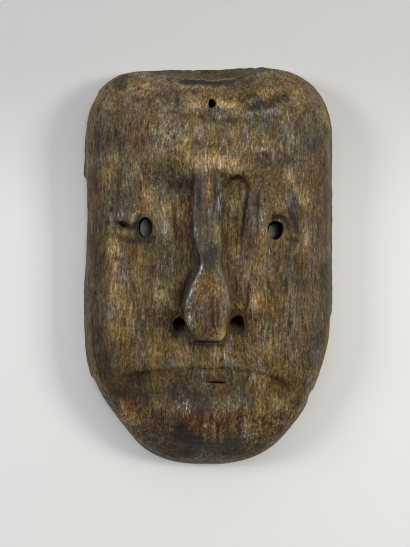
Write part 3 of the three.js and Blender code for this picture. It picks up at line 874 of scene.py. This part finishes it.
# Partly painted shade: under the ledge at the mouth's corners and on the chin's lower side; elsewhere dark
# patina
PATCHES["umber_and_shade"] = [
    (-59.6, 62, 3, 14, 0.7), (0, 45, 7, 5, 0.6), (-13.4, 42.4, 4.4, 3.6, 0.2), (-60.6, 42, 2.4, 6, 0.9),
    (-59, 24, 4, 22, 0.7), (0, 20, 7, 14, 0.3), (-60.6, 9, 2.4, 7, 0.9), (50, -5, 6.4, 9, 0.8),
    (0, -7, 7, 5, 0.6), (31, -12, 4.6, 3.6, 0.5), (-58, -14, 4, 20, 0.8), (0, -20, 9, 12, 0.25),
    (54, -42, 6, 10, 0.5), (-55, -50, 5, 12, 0.5), (-54, -52, 4, 6, 0.5), (-32, -57, 12, 3.4, 0.9, 6),
    (-39, -59, 9, 5, 0.5), (37, -59.4, 7, 2.6, 0.9, -16), (-17, -66, 7, 5, 0.9), (-37, -67, 7, 8, 0.9),
    (6, -67, 16, 3.4, 0.5), (-45, -68, 7, 10, 0.6, 20), (-12, -72, 7, 7, 0.6), (-2, -75, 24, 6, 0.6),
    (-30, -84, 7, 8, 0.8), (0, -86, 24, 9, 0.7), (-6, -100, 26, 3, 0.5),
]
PATCHES["olive"] = [
    (14, 26, 6, 16, 0.9), (38, -24, 14, 14, 0.35), (-15, -35, 5, 3, 1.2), (-54, -44, 6, 12, 0.5),
    (-47, -60, 6, 8, 0.8), (-36, -62, 9, 8, 1.2), (40, -66, 10, 8, 0.5), (42, -70, 8, 9, 0.6),
]
# Dark under the nostrils; the band under the chin is partly painted shade where the chin turns away from
# the light
PATCHES["soot_and_shadow"] = [
    (2, 1, 3.6, 2.6, 0.25), (-15, -34, 4, 2.8, 1.1), (16, -34, 4.6, 1.8, 1), (-14, -86, 3, 6, 0.7),
    (-11, -92, 5, 2.4, 0.9), (14, -92, 4, 2.2, 0.8), (-6, -94.4, 9, 3, 0.7), (15, -95.4, 5, 2.6, 0.5),
    (0, -99, 26, 4, 0.6),
]
# Painted highlight on the chin
PATCHES["painted_highlight"] = [
    (-12, -72, 2.4, 4, 0.2),
]

# Longer marks of the same kinds: half width, strength, then x and y of each point in turn
STROKES = {}
# Mostly dirt and dark grain; painted shadows along the left side of the bridge, under the right eye's lid,
# beside the nose's bulb and under its tip
STROKES["soot_and_shadow"] = [
    (1.9, 0.75, -12, 97.6, -5, 96.4, 2, 96, 10, 96.4, 17, 98.4), (0.9, 0.7, -17, 91, -16.4, 84),
    (0.9, 0.7, 17.6, 84.6, 20.4, 88, 24, 89.6), (1.3, 0.6, -21, 80.6, -9.5, 76.7, 3.5, 73.8, 13.9, 74.4),
    (0.9, 0.5, 20.4, 80.4, 24, 82), (0.5, 1, 12.4, 44.4, 14.6, 45.4, 17.4, 45),
    (0.6, 0.8, 3.4, 40, 3.6, 33), (0.6, 0.6, -9, 38, -9.1, 24, -8.9, 13),
    (1.2, 0.9, -35.6, 25, -37.4, 21, -37.2, 17, -35.4, 13.8, -31.6, 12.6, -29, 14),
    (1, 0.9, 33, 23.6, 35.4, 24.4, 38.6, 24.4, 40.6, 22.4, 41, 19),
    (1.1, 0.8, -47.4, 22, -44.4, 20.8, -41, 19.4, -36.6, 18.6), (2.2, 0.5, 0, 3, 0.6, -2),
    (1.6, 0.5, -9.6, -4.6, -12, -10, -13.6, -16), (0.7, 0.8, 1.8, -16, 2.2, -31),
    (0.8, 0.8, -8, -41, 2, -41.6, 7.6, -41), (1.6, 0.4, -19, -67, -20.6, -73, -19, -79),
    (0.6, 0.4, 1.2, -75, 1.8, -81), (1.4, 0.7, -14.8, -77, -14.2, -86), (0.6, 0.5, 9.8, -77, 10, -85),
    (0.6, 0.5, -10.2, -78, -9.6, -84), (0.6, 0.6, -4.4, -80, -4.2, -91), (0.9, 0.5, 15.6, -80, 16.4, -90),
    (0.6, 0.6, 4.8, -83, 5, -92),
]
STROKES["slate"] = [
    (2.4, 1, -26, 101.4, -15, 97.6, 0, 95.4, 12, 95.8, 24, 100),
    (3.4, 0.7, 57, 82, 60.6, 62, 61.4, 40, 61, 10, 61, -20, 59, -42),
    (2.2, 0.8, 20.4, 80.6, 28, 84, 34, 85, 41, 88.4), (2.2, 0.9, -27.8, 47, -26.6, 40, -24.4, 34),
    (2, 1.5, -6.2, 44, -5.6, 30, -5.4, 12), (1.4, 1.1, 4.4, 42, 4.2, 35, 4.4, 26),
    (2.4, 0.6, 41.4, 38, 45.4, 27, 46.4, 18), (3.2, 0.9, 0.6, 6, 0, -1), (1.6, 0.8, -9.4, -15, -9.6, -24),
]
STROKES["plum"] = [
    (2.6, 0.2, 20, 76, 28, 77.8, 36, 81), (1.6, 1, 23, 42, 23.4, 36, 22.8, 28, 21.2, 20, 22, 11),
    (3.4, 1, -45.4, 36, -45, 25), (2.2, 1, -11.4, -6, -14.4, -12, -15.6, -20),
]
STROKES["ash"] = [
    (0.5, 1.2, -25, 101, -13, 99.8, 0, 99, 12, 99.3, 19, 100.8),
    (2.2, 0.3, 22, 81.6, 28, 84, 34, 85, 40, 87.6), (1.8, 1.4, 20, 76.6, 28, 78.4, 36, 81),
    (2.2, 0.8, -27.8, 47, -26.6, 40, -24.4, 34), (1.6, 0.9, 4.8, 40, 4.8, 27),
    (0.7, 0.8, 21.8, 34, 21.2, 26), (1.1, 0.8, 25.6, 29, 26.4, 24.6, 29.4, 22),
    (1.1, 0.6, 36, 27.6, 39, 27.2), (1.2, 0.7, 24, 22, 26, 28, 34, 31),
    (0.7, 1.3, -37.4, -96.6, -26.4, -102.1, -15.4, -105.4, 6.6, -106.2, 17.6, -105.7, 25.9, -102.6),
]
STROKES["ochre"] = [
    (0.7, 1.6, -24, 100.6, -12, 99.4, 2, 98.8, 14, 99), (1.2, 0.9, -28, 99, -20, 96.4, -14, 95.4),
    (0.9, 1.3, -20, 94.6, -8, 93.4, 8, 93.2), (1.4, 0.7, 22, 90.4, 30, 91, 38, 92.4),
    (2, 0.9, 4.4, 18, 5, 12), (1.4, 0.9, -20, -74, -21, -86),
]
# The stroke left of the nose's waist is painted shade; the rest are dark patina
STROKES["umber_and_shade"] = [
    (0.8, 0.6, -22, 98.6, -8, 96.8), (6, 0.7, -61, 80, -65, 60, -64, 20, -63, -20, -57, -50, -47, -72),
    (4, 0.5, 62, 70, 64, 40, 64, -10, 60, -46, 48, -74),
    (0.5, 0.7, 10.8, 42.4, 12.4, 44.6, 19.2, 43.4, 20.4, 40.8),
    (0.6, 0.5, 20.4, 41, 20.6, 37.6, 20, 33.6, 19, 28.4, 18.4, 22, 17.4, 15),
    (0.6, 0.9, -17.2, 33, -17.4, 21, -17, 11), (0.6, 0.8, 40, 13.4, 44, 11.8, 47.6, 12.4),
    (2.6, 0.4, -8.4, 10, -6.4, 3.4, -6.4, -2, -9.4, -7), (0.6, 0.6, -5.6, -16, -5.8, -28),
    (0.6, 0.9, 4.6, -20, 5, -32), (0.6, 0.7, -2, -22, -1.8, -34),
]
# Painted highlights along the edges of the bridge and the flanks of the nose
STROKES["painted_glint"] = [
    (1.1, 1, 6.6, 44, 5.8, 34, 6.2, 22), (0.9, 1, -6.4, 42, -7, 26, -7, 12),
    (1.8, 0.9, -2.6, 0, -5.6, -7, -9, -13), (1.4, 0.7, 6.6, -4, 8.4, -12, 9.6, -20),
    (1.2, 0.9, 9.4, -15, 10, -19), (2.6, 1, -9.6, -16, -10.4, -22, -10, -28),
]
STROKES["gold"] = [
    (1.2, 1.1, -1.4, 50, -0.8, 42, 0, 35), (1.6, 0.6, 42.4, 50, 43.6, 42, 46.6, 34),
    (1.6, 0.5, 41, 49, 44.6, 41.4, 49, 33.4), (1.5, 0.7, 49.6, 22, 52.4, 16, 51.4, 12),
    (0.9, 1, -40.4, 21.6, -39, 25.4, -37, 27.4), (2.6, 0.6, 12.6, -16.4, 15.6, -20.6, 14.4, -23),
    (1.1, 0.8, 7.4, -30.4, 8.4, -34.6, 6.4, -37), (1.4, 1, 2, -38, 7, -37.4, 8.4, -34),
    (1.2, 0.7, 20, -74, 20.6, -90), (0.7, 0.6, -7.4, -78, -7, -84), (0.7, 0.8, 2.8, -78, 3.2, -92),
    (1, 0.7, 12.4, -79, 13, -92), (0.8, 0.9, -2, -82, -1.8, -93), (0.8, 0.8, 7, -84, 7.2, -93),
]
# Painted highlights along the edges of the nose, in the left trough and on the chin
STROKES["painted_highlight"] = [
    (0.6, 0.9, 5.9, 44, 6.3, 39), (0.5, 0.9, -6.6, 41, -6.8, 36.4, -6.5, 32.4),
    (0.7, 1.2, 6.2, 36, 5.2, 31, 5.6, 26.6), (0.5, 1.1, -7, 29.6, -7.1, 24), (0.5, 0.8, 6, 23, 6.3, 17),
    (0.5, 0.8, -6.8, 21, -7, 14), (0.8, 0.7, -22.8, 21, -22, 13), (0.6, 0.8, -2.6, 1, -5, -4.6, -7.6, -9.6),
    (0.6, 0.7, 9, -11, 9.8, -15.6, 9.9, -19), (0.9, 0.7, -8.6, -13, -10, -17, -10.2, -20.4),
    (0.6, 0.6, -9.8, -24, -9.4, -29), (0.6, 0.7, -12.6, -67.6, -11.4, -70, -12.4, -75.4),
    (0.5, 0.5, 4.6, -69, 8, -72.6), (0.5, 0.5, 9.6, -69, 11.4, -73),
]
STROKES["olive"] = [
    (2, 1.2, -36.6, 25, -38, 18.6, -36, 13.4, -31, 12), (1.4, 0.9, 5.6, 8, 6, 1),
]
STROKES["russet"] = [
    (2.2, 0.9, 29, 30, 34, 30.6, 40, 29),
]

# Facets with crisp outlines: corners in clockwise order, strength of each kind
FACETS = [
    (
        [(-52.7, 97.9), (-48.4, 101.7), (-43.1, 104.4), (-42.8, 93.3), (-45.7, 92.2), (-50.6, 95.2)],
        {"slate": 1.2, "soot_and_shadow": 0.4},
    ),
    ([(20.6, 80.4), (23.7, 84.8), (29, 86.3), (35, 87), (35.4, 82.8), (26.8, 80.4)], {"slate": 1.1}),
    ([(34.6, 87), (42, 89.4), (41.4, 86), (34.8, 82.4)], {"slate": 1}),
]

# Where hands have polished the wood, listed like the patches
POLISHED_SPOTS = [
    (0, 28, 7, 26, 0.8), (-11, -22, 4, 12, 1), (10, -20, 3, 12, 0.8), (-11, -73, 8, 5, 1),
    (9, -72, 12, 5, 0.9), (28, 27, 6, 8, 0.6), (-20, 24, 5, 16, 0.5), (34, 62, 12, 8, 0.4),
]


def cover(away):
    """How much is covered that far out, where 1 is the patch's half width."""
    return fall(away**COVER_BEND * COVER_TIGHTNESS)


def spot(x, y, sx, sy, half_x, half_y, strength, lean=0):
    """How strongly one patch covers each point."""
    c = math.cos(math.radians(lean))
    s = math.sin(math.radians(lean))
    u = ((x - sx) * c + (y - sy) * s) / half_x
    v = (-(x - sx) * s + (y - sy) * c) / half_y
    return strength * cover(np.hypot(u, v))


def inside(corners, x, y):
    """Distance in from a convex outline whose corners run clockwise, below 0 outside it."""
    nearest = np.full_like(x, FAR)
    for (ax, ay), (bx, by) in zip(corners, corners[1:] + corners[:1]):
        away = ((x - ax) * (by - ay) - (y - ay) * (bx - ax)) / math.hypot(bx - ax, by - ay)
        nearest = np.minimum(nearest, away)
    return nearest


def covers(x, y):
    """The kind of each patch, stroke and facet, and how strongly it covers each point."""
    ragged = [at + layers([wander], x, y) for at, wander in zip((x, y), PATCH_WANDER)]
    rough = [at + layers([wander], x, y) for at, wander in zip((x, y), STROKE_WANDER)]
    for kind, places in PATCHES.items():
        for place in places:
            yield kind, spot(*ragged, *place)
    for kind, strokes in STROKES.items():
        for width, strength, *points in strokes:
            yield kind, strength * cover(line_distance(points, *rough)[0] / width)
    for corners, strengths in FACETS:
        covered = ramp(*FACET_EDGE, inside(corners, *rough))
        for kind, strength in strengths.items():
            yield kind, strength * covered


def patches(x, y):
    """Lightness, warmth, redness and painted glints that the patches, strokes and facets give."""
    shifts = [np.zeros_like(x) for _ in range(3)]
    painted_glint = np.zeros_like(x)
    for kind, covered in covers(x, y):
        if kind == "painted_glint":
            painted_glint = np.maximum(painted_glint, covered)
            continue
        for shift, amount in zip(shifts, KINDS[kind]):
            shift += amount * covered
    return *shifts, painted_glint


# Where the painted shade sets in at a hole: distance in shares of its half width, and depth in millimetres
HOLE_SHADE_OUT = (1.7, 1.3)
HOLE_SHADE_DOWN = (-0.1, 1.0)

# The back's plainer finish: how deep it starts, how low on the wall, and how far past the hollow
BACK_DEPTH = (3, 6)
BACK_LOW = (0.4, 0.1)
BACK_MARGIN = 0.5

# Where growth rings look dark
RING_DARKENS = (0.45, 0.8)
RING_CLEARS = (0.86, 1)

# Hollows gather dirt and ridges lose it: radius, least and most depth, strength
CAVITIES = [(2.2, (-2, 4), 0.16), (6, (-4, 6), 0.09)]
CAVITY_LIMIT = 0.5
CAVITY_STEPS = 10

# The mottling is stronger on the chin, and a little on the nose
CHIN_MOTTLING = 0.6
CHIN_MOTTLING_Y = (-64, -86)
NOSE_MOTTLING = 0.2
NOSE_MOTTLING_PLACE = (0, -20)
NOSE_MOTTLING_REACH = (11, 16)

# How far the crown cut lies below the face where its dark finish starts and is full
CUT_SHOWS = (-0.6, 0.8)


def hollowness(x, y, radius):
    """How far the carved form lies below its surroundings, in millimetres."""
    around = 0
    for k in range(CAVITY_STEPS):
        turn = 2 * math.pi * k / CAVITY_STEPS
        around = around + face(x + radius * math.cos(turn), y + radius * math.sin(turn))
    return around / CAVITY_STEPS - face(x, y)


def hole_shade(x, y, depth):
    """1 on the walls of the holes but the mouth slit, darkened there as painted shade."""
    shade = np.zeros_like(x)
    for _, hole, _, shape in HOLES[:-1]:
        away = away_from(x, y - shape.get("slant", 0) * depth, hole[:2], hole[2:])
        shade = np.maximum(shade, ramp(*HOLE_SHADE_OUT, away) * ramp(*HOLE_SHADE_DOWN, depth))
    return shade


def paint(mesh):
    """Writes the masks that the wood's shader reads, and gives their names."""
    co = np.empty(len(mesh.vertices) * 3, np.float32)
    mesh.vertices.foreach_get("co", co)
    x, y, z = co.reshape(-1, 3).T.astype(float) / MM
    depth = face(x, y) - z
    level = y + bend(x, y)
    nearest_y = np.clip(y, HOLLOW_BOTTOM, HOLLOW_TOP)
    within = np.abs(x) < hollow_reach(by_side(x, (-1, 1)), nearest_y) + BACK_MARGIN
    within &= np.abs(y - nearest_y) < BACK_MARGIN
    back = np.maximum(ramp(*BACK_DEPTH, depth) * within, ramp(*BACK_LOW, z))
    front = 1 - back
    phase = ring_phase(x, y, z) % 1
    cavity = 0
    for radius, limits, strength in CAVITIES:
        cavity = cavity + strength * np.clip(hollowness(x, y, radius), *limits)
    on_nose = mound(x, y, NOSE_MOTTLING_PLACE, NOSE_MOTTLING_REACH)
    light, warm, red, painted_glint = patches(x, y)
    polish = sum(spot(x, y, *place) for place in POLISHED_SPOTS)
    masks = {
        "light": light * front,
        "warm": warm * front,
        "red": red * front,
        "painted_glint": painted_glint * front,
        "polish": np.clip(polish, 0, 1) * front,
        "contrast": 1 + CHIN_MOTTLING * ramp(*CHIN_MOTTLING_Y, y) * front + NOSE_MOTTLING * on_nose,
        "split": np.maximum(lines(x, y)[1], pits(x, y)[1]) * front,
        "ring": ramp(*RING_DARKENS, phase) * (1 - ramp(*RING_CLEARS, phase)),
        "cavity": np.clip(cavity, -CAVITY_LIMIT, CAVITY_LIMIT) * front,
        "cut": ramp(*CUT_SHOWS, uncut(x, level) - crown_cut(x, level)) * front,
        "hole": hole_shade(x, y, depth),
        "back": back,
    }
    for name, values in masks.items():
        attribute = mesh.attributes.new(name, "FLOAT", "POINT")
        attribute.data.foreach_set("value", values.astype(np.float32))
    return list(masks)


class Shader:
    """Adds nodes to a material or a world. All but node, put and surface give an output."""

    def __init__(self, owner):
        owner.use_nodes = True
        self.tree = owner.node_tree
        self.tree.nodes.clear()

    def put(self, socket, value):
        if isinstance(value, bpy.types.NodeSocket):
            self.tree.links.new(value, socket)
        else:
            socket.default_value = value

    def node(self, kind, values=None, **settings):
        made = self.tree.nodes.new("ShaderNode" + kind)
        for key, value in settings.items():
            setattr(made, key, value)
        for key, value in (values or {}).items():
            self.put(made.inputs[key], value)
        return made

    def math(self, operation, a, b):
        return self.node("Math", {0: a, 1: b}, operation=operation).outputs[0]

    def vector(self, operation, a, b):
        return self.node("VectorMath", {0: a, 1: b}, operation=operation).outputs[0]

    def tinted(self, colour, strength):
        return self.node("VectorMath", {0: colour, "Scale": strength}, operation="SCALE").outputs[0]

    def add(self, a, b):
        return self.math("ADD", a, b)

    def times(self, a, b):
        return self.math("MULTIPLY", a, b)

    def blend(self, total, terms):
        """Adds to a total each value times its amount."""
        for value, amount in terms:
            total = self.add(total, self.times(value, amount))
        return total

    def less(self, value, share):
        """1 less that share of a value."""
        return self.add(1.0, self.times(value, -share))

    def centred(self, value):
        return self.add(value, -0.5)

    def remap(self, value, low, high, to_low=0.0, to_high=1.0):
        values = {"Value": value, "From Min": low, "From Max": high, "To Min": to_low, "To Max": to_high}
        return self.node("MapRange", values, interpolation_type="SMOOTHSTEP").outputs[0]

    def attribute(self, name):
        return self.node("Attribute", attribute_name=name).outputs["Fac"]

    def noise(self, vector, stretch, scale, detail, roughness):
        drawn_out = self.vector("MULTIPLY", vector, (1, stretch, 1))
        values = {"Vector": drawn_out, "Scale": scale, "Detail": detail}
        return self.node("TexNoise", {**values, "Roughness": roughness}).outputs["Fac"]

    def surface(self, values):
        """Ends a material."""
        output = self.node("OutputMaterial")
        self.tree.links.new(self.node("BsdfPrincipled", values).outputs[0], output.inputs["Surface"])


# The wood's mean colour as seen, before wear, dirt, painted shade and painted highlights shift it
WOOD_LIGHTNESS = 0.289
GAMMA = 2.2

# Noise for the mottling: frequency along Y as a share of that across, scale, detail, roughness.
# The grain's fields sway with the first one.
GRAIN_SWAY = (1, 0.03, 1, 0.55)
GRAIN_SWAY_REACH = 9
GRAIN_FIELDS = {
    "fine": (0.5, 0.8, 3, 0.95), "fibre": (0.11, 1.1, 3, 0.7), "streak": (0.26, 0.38, 2, 0.6),
    "fleck": (0.16, 1.3, 1, 0.5), "gap": (0.06, 0.9, 2, 0.5), "tinge": (0.25, 0.33, 1, 0.5),
}
EVEN_FIELDS = {
    "blotch": (0.8, 0.08, 3, 0.7), "speck": (0.6, 1.4, 1, 0.5), "tint": (0.5, 0.1, 2, 0.7),
    "blush": (0.5, 0.16, 2, 0.6), "painted_glint_fleck": (0.4, 0.9, 2, 0.7),
}

# Wear shows first on the raised fibres, so the patches follow the grain
WEAR_FOLLOWS = {"fibre": 2.2, "fine": 1.6}
MOTTLING = {"fine": 0.8, "fibre": 0.44, "streak": 0.26, "blotch": 0.42}
# Between these values of its noise each kind of spot sets in
SPOTS = {"painted_glint_fleck": (0.5, 0.68), "fleck": (0.6, 0.72), "gap": (0.4, 0.32), "speck": (0.36, 0.28)}
# The painted glint flecks lighten the wood as painted highlights
LIGHTENS = {"painted_glint_fleck": 0.4, "fleck": 0.12}
DARKENS = {"gap": -0.1, "speck": -0.14, "ring": -0.03, "cavity": -0.14, "cut": -0.05, "back": -0.03}
# Even the darkest spots, of dirt and of painted shadow, keep some of the wood's mottling
DARKEST = 0.06
DARKEST_MOTTLING = 0.3
SPLIT_DARKENS = 0.7
# Painted shade: the walls of the holes go nearly black
HOLE_DARKENS = 0.9

# The cool veil over the wood, and the limits and shares of warmth and redness
VEIL = {"tint": 0.46, "tinge": 0.24}
VEIL_LEAST = -0.1
WARM_LEAST = -0.13
CUT_WARMTH = -0.05
# Painted glint flecks are cooler, as painted bluish highlights
PAINTED_GLINT_WARMTH = -0.1
REDNESS = {"blush": 0.12}
VEIL_REDNESS = -0.34
CUT_REDNESS = -0.01

# Red and blue as seen: share of the lightness, and an offset. Warmth and redness shift the channels.
RED_LEVEL = (0.92, 0.09)
BLUE_LEVEL = (1.2, -0.186)
WARM_SHIFT = 0.5
RED_SHIFT = 0.33
SEEN_LEAST = 0.02

# Bumps, with their height in metres, and gloss
BUMP = {"fine": 0.9, "fibre": 0.9}
PIT_BUMP = -0.35
BUMP_DISTANCE = 0.0007
ROUGHNESS = 0.58
POLISH_ROUGHNESS = -0.24
SHINE = 0.4
CUT_DULLS = 0.65


def wood_material(masks):
    material = bpy.data.materials.new("old_wood")
    sh = Shader(material)
    mm = sh.vector("MULTIPLY", sh.node("TexCoord").outputs["Object"], (1 / MM, 1 / MM, 1 / MM))
    sway = sh.times(sh.centred(sh.noise(mm, *GRAIN_SWAY)), GRAIN_SWAY_REACH)
    grain = sh.vector("ADD", mm, sh.node("CombineXYZ", {"X": sway}).outputs[0])
    field = {name: sh.noise(grain, *shape) for name, shape in GRAIN_FIELDS.items()}
    field.update({name: sh.noise(mm, *shape) for name, shape in EVEN_FIELDS.items()})

    def mix(total, table):
        return sh.blend(total, [(sh.centred(field[name]), amount) for name, amount in table.items()])

    seen = {name: sh.attribute(name) for name in masks}
    seen.update({name: sh.remap(field[name], *limits) for name, limits in SPOTS.items()})
    # Painted highlights: the glints show as flecks where the noise is high
    seen["painted_glint_fleck"] = sh.times(seen["painted_glint"], seen["painted_glint_fleck"])

    texture = mix(0.0, MOTTLING)
    light = sh.blend(WOOD_LIGHTNESS, [(seen["light"], mix(1.0, WEAR_FOLLOWS)), (texture, seen["contrast"])])
    light = sh.blend(light, [(seen[name], amount) for name, amount in (LIGHTENS | DARKENS).items()])
    light = sh.math("MAXIMUM", light, sh.blend(DARKEST, [(texture, DARKEST_MOTTLING)]))
    light = sh.times(light, sh.less(seen["split"], SPLIT_DARKENS))
    light = sh.times(light, sh.less(seen["hole"], HOLE_DARKENS))

    veil = sh.math("MAXIMUM", mix(0.0, VEIL), VEIL_LEAST)
    warm = sh.blend(sh.add(seen["warm"], veil), [(seen["cut"], CUT_WARMTH)])
    warm = sh.blend(sh.math("MAXIMUM", warm, WARM_LEAST), [(seen["painted_glint_fleck"], PAINTED_GLINT_WARMTH)])
    red = sh.blend(mix(seen["red"], REDNESS), [(veil, VEIL_REDNESS), (seen["cut"], CUT_REDNESS)])

    # Red, green and blue as seen, turned into the light that the wood gives back
    channels = {
        "X": sh.blend(RED_LEVEL[1], [(light, RED_LEVEL[0]), (warm, WARM_SHIFT), (red, RED_SHIFT)]),
        "Y": sh.blend(light, [(red, -RED_SHIFT)]),
        "Z": sh.blend(BLUE_LEVEL[1], [(light, BLUE_LEVEL[0]), (warm, -WARM_SHIFT), (red, RED_SHIFT)]),
    }
    colour = sh.vector("MAXIMUM", sh.node("CombineXYZ", channels).outputs[0], (SEEN_LEAST,) * 3)
    colour = sh.node("Gamma", {"Color": colour, "Gamma": GAMMA}).outputs[0]

    height = sh.blend(0.0, [(field[name], amount) for name, amount in BUMP.items()])
    height = sh.blend(height, [(seen["speck"], PIT_BUMP), (seen["gap"], PIT_BUMP)])
    bump = sh.node("Bump", {"Height": height, "Strength": 1.0, "Distance": BUMP_DISTANCE}).outputs[0]
    shine = sh.times(sh.times(sh.less(seen["hole"], 1.0), sh.less(seen["cut"], CUT_DULLS)), SHINE)
    roughness = sh.blend(ROUGHNESS, [(seen["polish"], POLISH_ROUGHNESS)])
    sh.surface({"Base Color": colour, "Roughness": roughness, "Normal": bump, "Specular IOR Level": shine})
    return material


masks = paint(mask.data)
mask.data.materials.clear()
mask.data.materials.append(wood_material(masks))
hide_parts("mask")
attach(mask, "root")


# The paper's colour is painted darker towards the crown, as painted shade: from y, to y, in metres, and
# brightness at both
PAPER_COLOUR = (0.8, 0.8, 0.785)
PAPER_PAINTED_SHADE = (0.01, 0.125, 1, 0.74)
PAPER_ROUGHNESS = 0.9
FLOOR_HALF = 2000


def make_floor():
    low, high = -FLOOR_HALF, FLOOR_HALF
    corners = [(low, low, 0), (high, low, 0), (high, high, 0), (low, high, 0)]
    floor = new_object("floor", corners, [(0, 1, 2, 3)])
    paper = bpy.data.materials.new("floor_paper")
    sh = Shader(paper)
    height = sh.node("SeparateXYZ", {0: sh.node("TexCoord").outputs["Object"]}).outputs["Y"]
    tone = sh.tinted(PAPER_COLOUR, sh.remap(height, *PAPER_PAINTED_SHADE))
    sh.surface({"Base Color": tone, "Roughness": PAPER_ROUGHNESS})
    floor.data.materials.append(paper)


# Square lights that face the origin: name, place and width in metres, watts, colour
LIGHTS = [
    ("key", (0.9, 0.12, 0.675), 0.3, 6.6, (1, 0.98, 0.94)),
    ("window", (-1.2, 0.3, 0.8), 0.44, 9.5, (0.9, 0.95, 1)),
    ("ceiling_lamp", (0.082, 0.01, 0.7), 0.09, 0.55, (1, 0.98, 0.95)),
]


def make_lights():
    for name, place, width, watts, colour in LIGHTS:
        data = bpy.data.lights.new(name, "AREA")
        data.size = width
        data.energy = watts
        data.color = colour
        light = add_object(name, data, place)
        light.rotation_euler = (-Vector(place)).to_track_quat("-Z", "Y").to_euler()


# The camera looks straight down. Its place and the height of floor in its view are in metres.
CAMERA_PLACE = (-0.0017, -0.0045, 0.48)
FRAME_HEIGHT = 0.3047
SENSOR = 36


def make_camera():
    data = bpy.data.cameras.new("camera")
    data.sensor_width = SENSOR
    data.lens = SENSOR * CAMERA_PLACE[2] / FRAME_HEIGHT
    bpy.context.scene.camera = add_object("camera", data, CAMERA_PLACE)


# Soft glows of the room: direction, how wide, colour, strength
GLOWS = [
    ((0, 1, 0.3), 1, (0.96, 0.98, 1), 0.1),
    ((0.15, 0.8, 0.55), 0.5, (1, 0.98, 0.95), 0.75),
]
GLOW_STARTS = 1.6
GLOW_FULL = 0.2


def make_world():
    world = bpy.data.worlds.new("room")
    sh = Shader(world)
    direction = sh.node("TexCoord").outputs["Generated"]
    total = (0, 0, 0)
    for toward, width, colour, strength in GLOWS:
        values = {0: direction, 1: Vector(toward).normalized()}
        facing = sh.node("VectorMath", values, operation="DOT_PRODUCT").outputs["Value"]
        glow = sh.remap(facing, 1 - GLOW_STARTS * width, 1 - GLOW_FULL * width, 0, strength)
        total = sh.vector("ADD", total, sh.tinted(colour, glow))
    background = sh.node("Background", {"Color": total})
    sh.node("OutputWorld", {"Surface": background.outputs[0]})
    bpy.context.scene.world = world


make_floor()
make_camera()
make_world()
make_lights()

bpy.context.scene.view_settings.view_transform = "Standard"
bpy.context.scene.cycles.filter_width = 1.0
